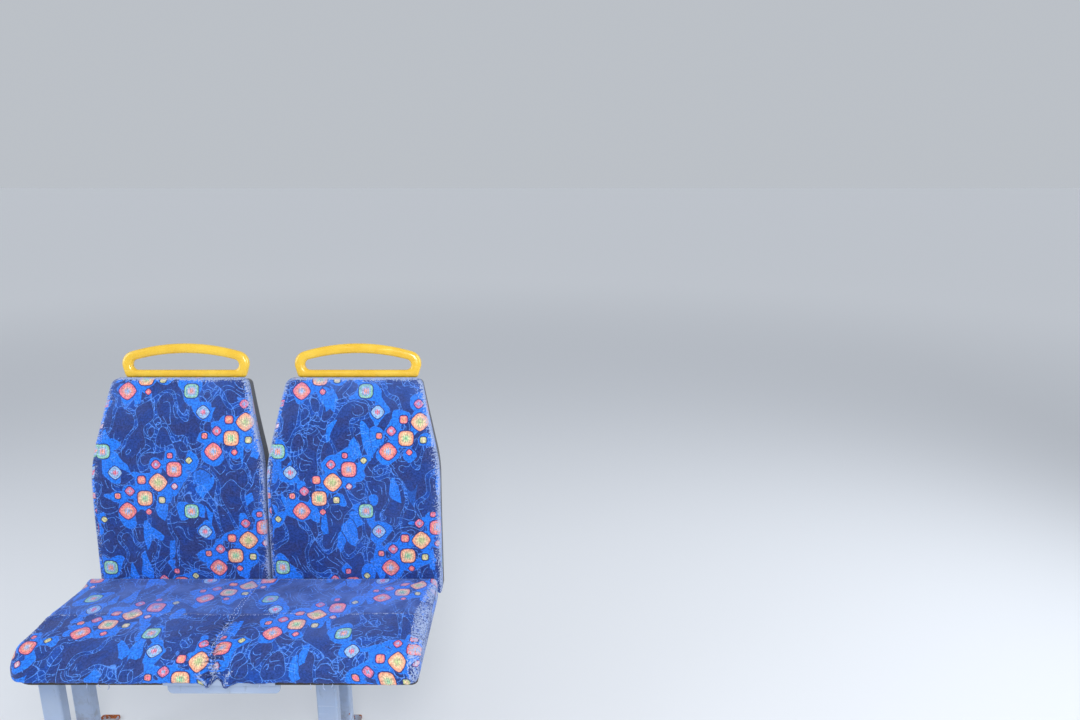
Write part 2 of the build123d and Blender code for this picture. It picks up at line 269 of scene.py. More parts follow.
def evaluated(piece):
    """The piece as its modifiers make it now."""
    return piece.evaluated_get(bpy.context.evaluated_depsgraph_get())


def swell(piece, held, cap):
    """Blows a skin up as cloth. held is how firmly each vertex is sewn down, cap how far it may go.

    A move is kept to the cap times the hyperbolic tangent of the move over the cap."""
    start = points_of(piece)
    group = piece.vertex_groups.new(name="held")
    for level in range(11):
        members = np.flatnonzero(np.round(held * 10) == level)
        group.add(members.tolist(), level / 10, "REPLACE")
    cloth = piece.modifiers.new("swell", "CLOTH")
    for key, value in cloth_settings.items():
        setattr(cloth.settings, key, value)
    cloth.settings.effector_weights.gravity = 0
    cloth.collision_settings.use_collision = False
    cloth.point_cache.frame_start = 1
    cloth.point_cache.frame_end = cloth_frames
    for number in range(1, cloth_frames + 1):
        scene.frame_set(number)
    move = points_of(evaluated(piece)) - start
    far = np.linalg.norm(move, axis=1)
    move *= (cap * np.tanh(far / cap) / np.maximum(far, 1e-9))[:, None]
    piece.modifiers.remove(cloth)
    piece.vertex_groups.remove(group)
    scene.frame_set(1)
    set_points(piece, start + move)
    print(piece.name, "swelled by up to", round(float(far.max()) * 1000, 1), "mm, kept", round(cap * 1000, 1))


# %% Refining a skin
def refine(piece):
    """Splits every quad in four with one round of subdivision, and keeps the result as its mesh."""
    finer = piece.modifiers.new("refine", "SUBSURF")
    finer.levels = finer.render_levels = 1
    mesh = bpy.data.meshes.new_from_object(evaluated(piece))
    piece.modifiers.remove(finer)
    old, piece.data = piece.data, mesh
    bpy.data.meshes.remove(old)
    mesh.name = piece.name
    print(piece.name, len(mesh.vertices), "vertices")


# %% [markdown]
# ### The bench cushion
#
# Seen from the side, the cushion has a steep front, a well-rolled nose, a faint ridge where two slopes
# meet, and a low rear edge under the backs. That outline is carried along X. The ends close over shoulders,
# and the wall end is rounded in plan. The cloth is held at the hem, the rear, the end seams and the gathered
# seam between the two places, so it crowns in between.

# %% The bench cushion's outline
bench_low, bench_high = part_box("bench_cushion")
seat_mid_x = 0.155
crease_y = bench_low.y + 0.165
hem_z, crease_z = bench_low.z - 0.0052, bench_high.z
cover_step, skin_inset = 0.0085, 0.003
plan_radius_wall, plan_radius_aisle = 0.064, 0.028

bench_corners = [
    (bench_high.y, hem_z),
    (bench_low.y, hem_z),
    (bench_low.y, crease_z - 0.0045),
    (crease_y, crease_z),
    (bench_high.y, crease_z - 0.0125),
]
bench_radii = [0.006, 0.004, 0.050, 0.02, 0.005]
bench_loop, bench_out, bench_run, bench_round = rounded_loop(bench_corners, bench_radii, cover_step)
bench_loop = bench_loop - bench_out * skin_inset
print("bench outline points:", len(bench_loop), "round", round(bench_round, 4))


# %% The bench cushion's skin
def bench_shoulder(loop):
    """Radius of the end shoulder along the outline: full on top, small at the hem and the rear."""
    high = smooth_step(loop[:, 1], hem_z + 0.004, crease_z - 0.014)
    rear = smooth_step(loop[:, 0], bench_high.y - 0.045, bench_high.y - 0.01)
    return 0.005 + 0.019 * high * (1 - 0.6 * rear)


def plan_setback(x, end_x, radius):
    """How far the front falls back near a rounded end: the radius less the circle's height there."""
    inside = np.clip(radius - np.abs(x - end_x), 0, radius)
    return radius - np.sqrt(radius**2 - inside**2)


def bench_skin():
    """Rings of the outline from the wall end to the aisle end.

    The outline is carried along X, shrinks over a quarter circle at each end, and closes to a pole."""
    loop, out, reach = bench_loop, bench_out, bench_shoulder(bench_loop)
    core = loop - out * reach[:, None]
    pole = np.array([(bench_low.y + bench_high.y) / 2, (hem_z + crease_z) / 2 - 0.006])
    left, right = bench_low.x + skin_inset, bench_high.x - skin_inset
    turn = np.linspace(0, math.pi / 2, 6)[::-1]
    shrink = (0.0, 0.1, 0.3, 0.55, 0.8)
    caps = len(shrink)
    ends = []
    for end_x, way in ((left, 1), (right, -1)):
        end = [at_x(end_x, pole + (core - pole) * share) for share in shrink]
        for angle in turn:
            x = end_x + way * reach * (1 - math.sin(angle))
            end.append(at_x(x, core + out * (reach * math.cos(angle))[:, None]))
        ends.append(end)
    shares = np.linspace(0, 1, int((right - left) / cover_step))[1:-1]
    middle = [at_x((left + reach) * (1 - share) + (right - reach) * share, loop) for share in shares]
    rings = np.array(ends[0] + middle + ends[1][::-1])
    depth = bench_high.y - bench_low.y
    for end_x, radius in ((bench_low.x, plan_radius_wall), (bench_high.x, plan_radius_aisle)):
        back = plan_setback(rings[:, :, 0], end_x, radius)
        rings[:, :, 1] = bench_high.y + (rings[:, :, 1] - bench_high.y) * (depth - back) / depth
    gaps = np.linalg.norm(np.diff(rings, axis=0), axis=2).mean(1)
    gaps[:caps] = gaps[-caps:] = 0
    u = left - math.pi / 2 * reach.mean() + np.append(0, np.cumsum(gaps))
    v = np.append(bench_run, bench_round)
    wrapped = np.stack(np.broadcast_arrays(u[:, None], v[None, :]), -1)
    flat = np.concatenate([rings[:, :, 1:], rings[:, :1, 1:]], 1)
    on_end = np.r_[:caps, len(gaps) - caps : len(gaps)]
    uv_low, uv_high = wrapped[:-1].copy(), wrapped[1:].copy()
    uv_low[on_end], uv_high[on_end] = flat[on_end], flat[on_end + 1]
    return ring_mesh("bench_cover", rings, uv_low, uv_high)


bench = bench_skin()
print("bench skin", len(bench.data.vertices), "vertices")

# %% Where the bench is sewn down, and the cloth
x, y, z = points_of(bench).T
under = smooth_step(z, hem_z + 0.012, hem_z + 0.005)
at_rear = smooth_step(y, bench_high.y - 0.02, bench_high.y - 0.006)
at_ends = smooth_step(np.minimum(x - bench_low.x, bench_high.x - x), 0.02, 0.006)
gather = bell(x - seat_mid_x, 0.006) * smooth_step(y, crease_y + 0.015, crease_y)
ridge = bell(y - crease_y, 0.007) * smooth_step(z, crease_z - 0.02, crease_z - 0.01)
held = np.clip(under + at_rear + 0.80 * at_ends + gather + 0.35 * ridge, 0, 1)
swell(bench, held, cap=0.009)
refine(bench)

# %% [markdown]
# ### The back covers
#
# A back is a slab that leans: straight and low at first, then an arc that falls away to the top. Its front
# outline has straight sides, a waist arc and a taper to small round top corners. So the cover is a loft.
# At each height its ring is a rounded rectangle, as wide as the outline and as thick as the pad there, set
# on the leaning front line. The rings close over a rounded top edge. The cloth is held along the rear, the
# bottom and the corner seams, so the front panel crowns a little.

# %% The lean and the outline of a back
back_low_z, back_lumbar_z, back_top_z = 0.398, 0.575, 0.936
back_waist_z, back_taper_z = 0.690, 0.765
back_pitch = 0.430
half_full, half_taper, half_top = 0.2145, 0.206, 0.168
top_corner_r = 0.018
pad_thick_low, pad_thick_top = 0.042, 0.026
back_foot_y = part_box("aisle_back_pad")[0].y
lumbar_lean, top_lean = 0.010, 0.091
places_x = {"aisle": seat_mid_x + back_pitch / 2, "wall": seat_mid_x - back_pitch / 2}


def front_lean(z):
    """How far the front face has leant back at a height: a straight run, then a tangent arc.

    The arc's angle grows evenly from the straight run's angle, so that it ends at the top's lean."""
    z = np.asarray(z, float)
    rise, run = back_top_z - back_lumbar_z, top_lean - lumbar_lean
    start = math.atan2(lumbar_lean, back_lumbar_z - back_low_z)
    radius = math.hypot(rise, run) / 2 / math.sin(math.atan2(run, rise) - start)
    up = np.clip(z - back_lumbar_z, 0, None)
    tilt = np.arcsin(np.clip(math.sin(start) + up / radius, -1, 1))
    arc = lumbar_lean + radius * (math.cos(start) - np.cos(tilt))
    return np.where(z < back_lumbar_z, (z - back_low_z) * math.tan(start), arc)


def half_width(z):
    """Half the outline's width at a height: full, a waist arc, the taper, the top corner's circle."""
    z = np.asarray(z, float)
    waist = np.clip((z - back_waist_z) / (back_taper_z - back_waist_z), 0, 1)
    taper = np.clip((z - back_taper_z) / (back_top_z - back_taper_z), 0, 1)
    straight = half_full - (half_full - half_taper) * waist**2 - (half_taper - half_top) * taper
    up = np.clip(z - (back_top_z - top_corner_r), 0, top_corner_r)
    return straight - 0.8 * (top_corner_r - np.sqrt(top_corner_r**2 - up**2))


def pad_thickness(z):
    """The pad's thickness at a height, between its low and its top value."""
    share = (np.asarray(z, float) - back_low_z) / (back_top_z - back_low_z)
    return pad_thick_low + (pad_thick_top - pad_thick_low) * share


print("back leans", [round(float(front_lean(z)), 4) for z in (back_low_z, back_lumbar_z, back_top_z)])


# %% A back cover's skin
def back_ring(mid_x, z, inner, across):
    """A ring at a height, pulled in by inner: across the front, round a small arc and across the rear."""
    edge_r, inset = 0.009, 0.002
    width = half_width(z) - inset - inner
    front = back_foot_y + front_lean(z) + inset + inner
    rear = back_foot_y + front_lean(z) + pad_thickness(z) - 0.0004 - inner * 0.4
    r = min(edge_r, (rear - front) / 2.2)
    bend = np.linspace(0, math.pi / 2, 5)[1:]
    front_x = across * (width - r)
    side_x = np.append(width - r + r * np.sin(bend), [width, width])
    side_y = np.append(front + r - r * np.cos(bend), [(front + r + rear) / 2, rear])
    rear_x = (front_x[::-1] * width / (width - r))[1:-1]
    x = np.concatenate([front_x, side_x, rear_x, -side_x[::-1]])
    y = np.concatenate([np.full(len(front_x), front), side_y, np.full(len(rear_x), rear), side_y[::-1]])
    return np.column_stack([mid_x + x, y, np.full(len(x), z)])


def back_skin(name, mid_x):
    """Rings from the bottom to the top edge of one back.

    The top rings follow a quarter circle inwards. The first and the last ring fold flat onto their own middle
    line: there each point of the rear lies on its partner on the front, so that the two merge."""
    top_r, full_ring, cloth_start = 0.008, 10, 0.55
    across = np.linspace(-1, 1, 53)
    centre, last = len(across) // 2, len(across) - 1
    turn = np.linspace(0, math.pi / 2, 4)[1:]
    heights = np.arange(back_low_z + 0.002, back_top_z - top_r - 0.012, cover_step)
    heights = np.append(heights, np.linspace(heights[-1], back_top_z - top_r - 0.002, 4)[1:])
    levels = np.append(heights, heights[-1] + top_r * np.sin(turn))
    pull = np.append(np.zeros(len(heights)), top_r * (1 - np.cos(turn)))
    rings = np.array([back_ring(mid_x, z, inner, across) for z, inner in zip(levels, pull)])
    corner = (rings.shape[1] - 2 * last) // 2
    partner = np.concatenate([np.arange(last), np.full(corner + 1, last), np.arange(last - 1, 0, -1)])
    partner = np.append(partner, np.zeros(rings.shape[1] - len(partner), int))
    bottom, top = rings[0][partner], rings[-1][partner]
    for fold in (bottom, top):
        fold[:, 1] = fold[:, 1].mean()
    top[:, 2] += 0.0012
    rings = np.concatenate([bottom[None], rings, ((rings[-1] + top) / 2)[None], top[None]])
    u = run_of(np.concatenate([rings[full_ring], rings[full_ring][:1]]))
    wide = rings[:, last, 0] - rings[:, 0, 0]
    v = cloth_start + run_of(rings[:, centre])
    across_cloth = mid_x + (u - u[centre]) * (wide / wide[full_ring])[:, None]
    sheet = np.stack(np.broadcast_arrays(across_cloth, v[:, None]), -1)
    return ring_mesh(name, rings, sheet[:-1], sheet[1:])


# %% Where the backs are sewn down, and the cloth
def sew_back(piece):
    """How firmly a back is held: fully at the rear, and less at the bottom, the top and the edges."""
    x, y, z = points_of(piece).T
    rear = smooth_step(y - back_foot_y - front_lean(z), 0.010, 0.016)
    edge = half_width(z) - np.abs(x - (x.min() + x.max()) / 2)
    side = smooth_step(edge, 0.016, 0.006)
    low = smooth_step(z, back_low_z + 0.03, back_low_z + 0.012)
    high = smooth_step(z, back_top_z - 0.018, back_top_z - 0.008)
    return np.clip(rear + 0.8 * side + 0.8 * low + 0.9 * high, 0, 1)


backs = {seat: back_skin(f"{seat}_back_cover", place) for seat, place in places_x.items()}
for cover in backs.values():
    swell(cover, sew_back(cover), cap=0.006)
    refine(cover)

# %% [markdown]
# ### Seams, folds and worn places
#
# The cloth gives the broad swell. What makes it upholstery is smaller: the gathered seam that divides the
# bench and pulls its hem up into a notch, the ridge where the two slopes meet, the boxing seam at the aisle
# end, and lumps in the foam. They are pushed in along the vertex normals, as plain formulas of the place.
# The same formulas then say where the pile is worn.

# %% Where the seams run
boxing_x = bench_high.x - 0.028
board_low, board_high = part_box("cushion_board")
fold_pitch, fold_fade = 0.019, 0.020


def seam_line(y, z):
    """Where the gathered seam runs: at the middle of the hem, then in an S that drifts to the wall on top."""
    run = np.clip(z - hem_z, 0, None) + np.clip(y - bench_low.y, 0, None)
    return seat_mid_x - 0.021 * smooth_step(run, 0.0, 0.14) + 0.0012 * np.sin(run * 190)


def boxing_line(y, z):
    """Where the boxing seam of the aisle end runs: nearer the end at the rear and along the front."""
    rear = 0.016 * smooth_step(y, crease_y, bench_high.y)
    front = 0.006 * smooth_step(y, crease_y, bench_low.y) + 0.006 * smooth_step(z, crease_z - 0.01, hem_z)
    return boxing_x + rear + front


print("gathered seam crosses the ridge at x", round(float(seam_line(crease_y, crease_z)), 3))


# %% Folds of the bench
def bench_folds(piece):
    """Moves the bench's vertices along their normals and returns where the pile is worn and rubbed.

    The gather is a narrow groove with ripples that die away to both sides. Near the notch in the hem the
    folds fan out: there a ripple runs round the notch, as the sine of the angle about it."""
    p, n = points_of(piece), triples(piece.data.vertex_normals, "vector")
    x, y, z = p.T
    down = np.clip(crease_y - y, 0, None) + np.clip(crease_z - z, 0, None)
    across = x - seam_line(y, z)
    on_top = smooth_step(n[:, 2], 0.2, 0.7)
    on_front = smooth_step(-n[:, 1], 0.3, 0.8)
    seen = smooth_step(n[:, 2] - n[:, 1], 0.1, 0.5)

    # the gathered seam: a groove, its ripples, the fan of folds round the notch
    along = smooth_step(down, -0.002, 0.03) * seen
    grow = 0.25 + 0.75 * smooth_step(down, 0.06, 0.17)
    side = np.tanh(across / 0.004)
    phase = down * 2 * math.pi / fold_pitch + 1.3 * side + 2.4 * lumps(p, 0.05, 3) - np.abs(across) * 95
    ripple = np.sin(phase)
    fade = np.exp(-np.abs(across) / fold_fade) * (1 - 0.6 * bell(across, 0.004))
    reach = np.hypot(across, z - hem_z - 0.004)
    angle = np.arctan2(z - hem_z + 0.010, across)
    fan = np.sin(angle * 9 + 0.6 * side + 1.2 * lumps(p, 0.03, 5)) * bell(reach - 0.028, 0.024) * on_front
    gather = -0.0060 * bell(across, 0.0060) + 0.0032 * ripple * fade * grow + 0.0044 * fan
    gather += 0.0032 * bell(np.abs(across) - 0.022, 0.012) * grow

    # the ridge, the boxing seam and the lumps of the foam
    ridge = 0.0012 * bell(y - crease_y, 0.0035) - 0.0018 * bell(y - crease_y - 0.010, 0.007)
    boxing = x - boxing_line(y, z)
    seam = 0.0012 * bell(boxing + 0.0035, 0.003) - 0.0022 * bell(boxing, 0.0016)
    soft = 0.0016 * lumps(p, 0.16, 11) + 0.0008 * lumps(p, 0.06, 12)
    clear_rear = smooth_step(y, bench_high.y - 0.004, bench_high.y - 0.02)
    move = gather * along + ridge * on_top + seam * seen + soft * smooth_step(n[:, 2] - n[:, 1], -0.2, 0.4)
    p = p + n * (move * clear_rear)[:, None]

    # the hem: lifted at the notch, lower beside it and towards the aisle, a little uneven all along
    at_hem = smooth_step(p[:, 2], hem_z + 0.040, hem_z + 0.003)
    at_hem *= smooth_step(y, bench_low.y + 0.016, bench_low.y + 0.009)
    lift = 0.0095 * bell(across, 0.0085) - 0.0072 * bell(np.abs(across) - 0.0225, 0.0135)
    lift -= 0.0045 * smooth_step(x, 0.36, 0.54)
    lift += 0.0010 * np.sin(x * 71) * np.sin(x * 23 + 2) + 0.0006 * np.sin(x * 290)
    p[:, 2] += lift * at_hem

    # the rear edge reaches for the backs, the aisle end is drawn in, and the board stays below the cloth
    at_back = smooth_step(y, bench_high.y - 0.020, bench_high.y - 0.004)
    at_back *= smooth_step(z, hem_z + 0.02, crease_z - 0.03)
    p[:, 1] += 0.0055 * at_back
    p[:, 2] += 0.0035 * at_back
    p[:, 0] -= 0.0075 * smooth_step(x, 0.50, 0.575)
    over_board = (p[:, 0] > board_low.x) & (p[:, 0] < board_high.x)
    over_board &= (p[:, 1] > board_low.y) & (p[:, 1] < board_high.y)
    p[:, 2] = np.where(over_board, np.maximum(p[:, 2], board_high.z + 0.0005), p[:, 2])
    set_points(piece, p)

    # worn: the boxed end, its seam, the ridge, the folds' crests and fan, rear edge, hem and wall end
    crests = 0.35 * bell(across, 0.0055) + 0.45 * fade * smooth_step(ripple, 0.1, 0.9) * grow
    worn = [
        0.62 * smooth_step(boxing, 0.000, 0.004) * smooth_step(x, 0.4, 0.5),
        0.80 * np.exp(-np.abs(boxing - 0.001) / 0.006) * seen,
        0.55 * bell(y - crease_y, 0.0022) * on_top,
        crests * along,
        0.55 * smooth_step(fan, 0.25, 0.9),
        0.55 * bell(y - bench_high.y, 0.009) * on_top,
        0.45 * bell(z - hem_z - 0.002, 0.004) * on_front,
        0.35 * smooth_step(x, bench_low.x + 0.035, bench_low.x + 0.01),
    ]
    seats = np.maximum(*[bell(x - place, 0.17) for place in places_x.values()])
    rub = seats * (0.20 + 0.45 * on_top * smooth_step(y, bench_low.y + 0.02, crease_y))
    rub += 0.55 * on_top * smooth_step(y, crease_y - 0.005, crease_y + 0.02)
    # gather also tells the material where to paint shade and highlight on the puckers
    set_value(piece, "gather", np.exp(-np.abs(across) / 0.016) * along)
    set_value(piece, "gather_run", down)
    return np.max(worn, axis=0), np.clip(rub, 0, 1)


# %% Edges of the backs
def back_folds(piece, mid_x, seed):
    """Lumps in a back's foam and a fine fold inside its corner seam. Returns its worn and rubbed places."""
    p, n = points_of(piece), triples(piece.data.vertex_normals, "vector")
    x, y, z = p.T
    edge = half_width(z) - np.abs(x - mid_x)
    top = back_top_z - z
    soft = 0.0012 * lumps(p, 0.17, seed) + 0.0006 * lumps(p, 0.06, seed + 1)
    soft -= 0.0010 * bell(edge - 0.011, 0.004) + 0.0009 * bell(top - 0.012, 0.005)
    p = p + n * (soft * smooth_step(-n[:, 1], 0.3, 0.9))[:, None]
    set_points(piece, p)
    tail = 0.0062 + 0.0022 * lumps(p, 0.045, seed + 2)
    wear = 0.75 * np.exp(-np.clip(edge - 0.004, 0, None) / (tail * 1.2))
    wear = np.maximum(wear, 0.90 * np.exp(-np.clip(top - 0.003, 0, None) / (tail * 0.45)))
    rub = 0.30 * bell(x - mid_x, 0.13) * bell(z - 0.60, 0.16) + 0.55 * smooth_step(top, 0.14, 0.0)
    rub += 0.25 * smooth_step(edge, 0.05, 0.005)
    return wear, np.clip(rub * (0.8 + 0.5 * lumps(p, 0.2, seed + 3)), 0, 1)


worn_places = [(bench, *bench_folds(bench))]
for (seat, cover), seed in zip(backs.items(), (21, 31)):
    worn_places.append((cover, *back_folds(cover, places_x[seat], seed)))
for cover, wear, rub in worn_places:
    set_value(cover, "wear", wear)
    set_value(cover, "rub", rub)
    print(cover.name, "worn share", round(float((wear > 0.4).mean()), 3))

# %% [markdown]
# ### Stitches
#
# The seams are sewn with a pale, thick thread. A painted dash would be flat, so each stitch is a small
# pillow: an ellipsoid laid along the seam and half sunk in the pile. The seam's path is found by casting
# rays at the finished cover, and the stitches are set along it at even steps. Two rows run beside the
# gathered seam and one beside the boxing seam.


# %% Stitches as small pillows
def stitch_mesh(centres, along, normals, length, width):
    """Ellipsoids (6 round, 4 long): the long axis is the seam's direction, the others its side and normal.

    A unit sphere's points in longitude and latitude are scaled by half the length and width and turned."""
    long, turn = np.meshgrid(np.linspace(0, math.pi, 5), around(6), indexing="ij")
    ball = np.stack([np.cos(long), np.sin(long) * np.cos(turn), np.sin(long) * np.sin(turn)], -1)
    axes = np.stack([along * length / 2, np.cross(normals, along) * width / 2, normals * width / 2], 1)
    points = centres[:, None, :] + np.einsum("gk,nkc->ngc", ball.reshape(-1, 3), axes)
    counted_on = long.size * np.arange(len(centres))[:, None, None]
    return points, (grid_faces(*long.shape)[None] + counted_on).reshape(-1, 4)


# %% Paths cast at the finished cover
def surface_path(tree, starts, directions, step):
    """Where rays meet a cover, resampled at even steps: points, unit tangents and normals."""
    hits = [tree.ray_cast(Vector(start), Vector(way)) for start, way in zip(starts, directions)]
    hits = np.array([(*spot, *normal) for spot, normal, _, _ in hits if spot is not None])
    run = run_of(hits[:, :3])
    place = np.arange(step / 2, run[-1], step)
    even = at_run(place, run, hits)
    ahead, behind = at_run(place + step / 4, run, hits), at_run(place - step / 4, run, hits)
    return even[:, :3], unit((ahead - behind)[:, :3]), unit(even[:, 3:])


def bench_rays(line, offset, low, last_y):
    """Rays at the cushion's front, nose and top, in the plane of a seam line moved sideways by an offset."""
    nose_r, far = 0.05, 0.12
    nose_y, nose_z = bench_low.y + nose_r, crease_z - nose_r
    turn = np.linspace(0, math.pi / 2, 30)[1:-1]
    front_z, top_y = np.arange(low, nose_z, 0.002), np.arange(nose_y, last_y, 0.003)

    def outline(reach):
        front, top = np.full(len(front_z), nose_y - reach), np.full(len(top_y), nose_z + reach)
        y = np.concatenate([front, nose_y - reach * np.cos(turn), top_y])
        return y, np.concatenate([front_z, nose_z + reach * np.sin(turn), top])

    x = line(*outline(nose_r)) + offset
    starts = np.stack([x, *outline(far)], 1)
    return starts, np.stack([x, *outline(nose_r)], 1) - starts


def face_tree(piece):
    """A search tree over a piece's faces."""
    faces = [face.vertices[:] for face in piece.data.polygons]
    return BVHTree.FromPolygons([vertex.co[:] for vertex in piece.data.vertices], faces)


stitch_pitch, stitch_length, stitch_width = 0.0092, 0.0056, 0.0014
seam_rows = [(seam_line, offset, hem_z + 0.016, bench_high.y - 0.01) for offset in (-0.0042, 0.0042)]
seam_rows += [(boxing_line, -0.0105, hem_z + 0.012, bench_high.y - 0.02)]
bench_tree = face_tree(bench)
rows = [surface_path(bench_tree, *bench_rays(*row), stitch_pitch) for row in seam_rows]
seam_thread = joined("seam_stitches", [stitch_mesh(*row, stitch_length, stitch_width) for row in rows])
print("stitches:", sum(len(row[0]) for row in rows))

# %% [markdown]
# ### The clip behind the notch
#
# The hem's notch shows a bit of painted steel: the centre bracket has a folded clip that grips the board's
# edge. It is sheet metal bent to an L, so its rounded L outline is carried along X.


# %% A bent sheet
def bent_sheet(name, corners, radii, start_x, end_x):
    """An outline in the YZ plane carried from one X to another, closed by a flat face at each end."""
    loop = rounded_loop(corners, radii, step=0.0009)[0]
    rings = np.stack([at_x(start_x, loop), at_x(end_x, loop)])
    faces = [*grid_faces(2, len(loop)), range(len(loop)), range(len(loop), 2 * len(loop))]
    return outward(mesh_piece(name, rings, faces, smooth=False))


bracket_front_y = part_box("centre_bracket")[0].y
sheet, grip = 0.0013, 0.0045
clip_y, clip_z = board_low.y - 0.0004, board_low.z - 0.0004
clip_corners = [
    (bracket_front_y, clip_z),
    (bracket_front_y, clip_z - sheet),
    (clip_y - sheet, clip_z - sheet),
    (clip_y - sheet, board_high.z + grip),
    (clip_y, board_high.z + grip),
    (clip_y, clip_z),
]
clip_radii = [0.0002, 0.0002, 0.0022, 0.0004, 0.0004, 0.0008]
clip_left, clip_right = 0.037, 0.273
clip = bent_sheet("board_clip", clip_corners, clip_radii, clip_left, clip_right)
print("clip", len(clip.data.vertices), "vertices")

# %% [markdown]
# ### Loose threads
#
# Under the front edge a few ends of the hem's thread hang down where staples have let go. Each is a thin
# tube swept along a short curl. They start inside the hem, so they hang from the cloth.


# %% Tubes along a path
def swept_tube(path, radius, sides=6):
    """A tube round a path of points: at each point a circle across the path, closed at both ends.

    The circle's axes are the cross products of the path's direction with a fixed helper direction."""
    along = unit(np.gradient(path, axis=0))
    first = unit(np.cross(along, (0.31, 0.95, 0.05)))
    second = np.cross(along, first)
    radii = np.array([0, *[radius] * len(path), 0])[:, None, None]
    path, first, second = (np.concatenate([a[:1], a, a[-1:]])[:, None] for a in (path, first, second))
    angle = around(sides)[None, :, None]
    return path + (first * np.cos(angle) + second * np.sin(angle)) * radii, grid_faces(len(path), sides)


def thread_path(x, length, curl, turn):
    """A short curl: down from the hem by the length, swinging sideways by a sine that grows to its end."""
    share = np.linspace(0, 1, 9)
    swing = curl * share**1.5 * np.sin(share * 3.0 + turn)
    depth = bench_low.y + 0.006 - 0.004 * share * np.cos(turn)
    start_z = hem_z + 0.002 - 0.002 * smooth_step(x, 0.36, 0.54)
    return np.stack([x + swing, depth, start_z - length * share], 1)


# place across, length, curl and the curl's first angle
thread_spots = [
    (0.350, 0.011, 0.004, 0.3),
    (0.377, 0.014, -0.005, 1.0),
    (0.396, 0.010, 0.004, 2.0),
    (-0.072, 0.012, 0.004, 0.6),
    (-0.094, 0.009, -0.004, 1.6),
    (-0.118, 0.013, 0.005, 2.6),
    (0.243, 0.008, 0.003, 0.9),
]
thread_r = 0.0006
loose_threads = joined("loose_threads", [swept_tube(thread_path(*spot), thread_r) for spot in thread_spots])
print("loose threads:", len(thread_spots))

# %% [markdown]
# ## Grab handles
#
# A handle is a closed loop of thick tube with a flat foot, flared ends and a shallow arch. The construction
# model has it with a flat face and rounded edges. Hands feel a fuller tube than that, so this surface keeps
# its outline and gives it a section between an ellipse and a rectangle. The outer and the inner outline have
# the same number of points in each corner and side, so joining them point by point gives the tube's middle
# and its width. The loops sit a few millimetres nearer the aisle than their pegs.

# %% The handle's outlines
handle_slope = math.radians(10)
handle_foot_y, handle_foot_z = 0.16667, 0.93026
foot_half, flare, arch_r = 0.149, 0.3, 0.530
tube_half_depth, tube_power = 0.011, 2.6
peg_half_pitch, peg_r = 0.128, 0.0066
loop_offset = 0.005


def between(start, end, count):
    """So many points on a straight line between two others."""
    return np.linspace(start, end, count + 2)[1:-1]


def handle_outline(inset, low, high, foot_r, top_r):
    """A closed outline, clockwise: foot, flared end, shoulder, arch, shoulder, end.

    Corners are arcs that touch both of their sides. The arch is a parabola through its two shoulders' ends
    and its crown."""
    half_low = foot_half - inset + flare * low
    half_high = half_low + flare * (high - low)
    shoulder = high - arch_r + math.sqrt(arch_r**2 - half_high**2)
    half_shoulder = half_low + flare * (shoulder - low)
    tilt = math.asin(half_shoulder / arch_r)
    up = unit(np.array([flare, 1.0]))
    over = np.array([math.cos(tilt), math.sin(tilt)])
    foot, mirror, drop = np.array([-1.0, 0.0]), np.array([-1, 1]), np.array([1, -1])
    arcs = [
        corner_arc((half_low, low), -up, foot, foot_r, 9),
        corner_arc((-half_low, low), foot, up * mirror, foot_r, 9),
        corner_arc((-half_shoulder, shoulder), up * mirror, over, top_r, 9),
        corner_arc((half_shoulder, shoulder), over * drop, -up, top_r, 9),
    ]
    x = between(arcs[2][-1][0], arcs[3][0][0], 60)
    arch = np.stack([x, high - (high - arcs[2][-1][1]) * (x / arcs[2][-1][0]) ** 2], 1)
    sides = [
        between(arcs[0][-1], arcs[1][0], 40),
        between(arcs[1][-1], arcs[2][0], 6),
        arch,
        between(arcs[3][-1], arcs[0][0], 6),
    ]
    return np.concatenate([part for pair in zip(arcs, sides) for part in pair])


def on_handle(mid_x, across, up, front):
    """Places across, up and front of the handle's foot, on a plane that leans back by the handle's slope."""
    y = handle_foot_y + up * math.sin(handle_slope) - front * math.cos(handle_slope)
    z = handle_foot_z + up * math.cos(handle_slope) + front * math.sin(handle_slope)
    return np.stack(np.broadcast_arrays(mid_x + across, y, z), -1)


print("handle foot", 2 * foot_half, "m, leaning back by", round(math.degrees(handle_slope), 1), "degrees")


# %% The handle's tube and pegs
def round_power(wave):
    """A sine or cosine raised to 2 / 2.6 with its sign kept, as on a superellipse."""
    return np.sign(wave) * np.abs(wave) ** (2 / tube_power)


def handle_surface(name, mid_x):
    """The loop as a tube whose section is a superellipse, |a|^2.6 + |b|^2.6 = 1, and two round pegs below."""
    outer = handle_outline(inset=0.0, low=0.0, high=0.0850, foot_r=0.009, top_r=0.032)
    inner = handle_outline(inset=0.0255, low=0.0192, high=0.0604, foot_r=0.013, top_r=0.013)
    angle, turn = around(20), around(16)
    wide, deep = round_power(np.cos(angle)), round_power(np.sin(angle)) * tube_half_depth
    flat = (outer + inner)[:, None] / 2 + (outer - inner)[:, None] / 2 * wide[None, :, None]
    points = on_handle(mid_x + loop_offset, flat[..., 0], flat[..., 1], deep[None, :])
    points = np.concatenate([points, points[:1]])
    parts = [(points, grid_faces(len(points), len(angle)))]
    radius = np.array([0, peg_r - 0.001, peg_r, peg_r, 0])[:, None]
    up = np.array([-0.016, -0.016, -0.015, 0.008, 0.008])[:, None]
    for side in (-1, 1):
        peg = on_handle(mid_x, side * peg_half_pitch + radius * np.cos(turn), up, radius * np.sin(turn))
        parts.append((peg, grid_faces(len(up), len(turn))))
    return joined(name, parts)


handles = {seat: handle_surface(f"{seat}_handle_loop", place) for seat, place in places_x.items()}
print("handle vertices:", len(handles["aisle"].data.vertices))

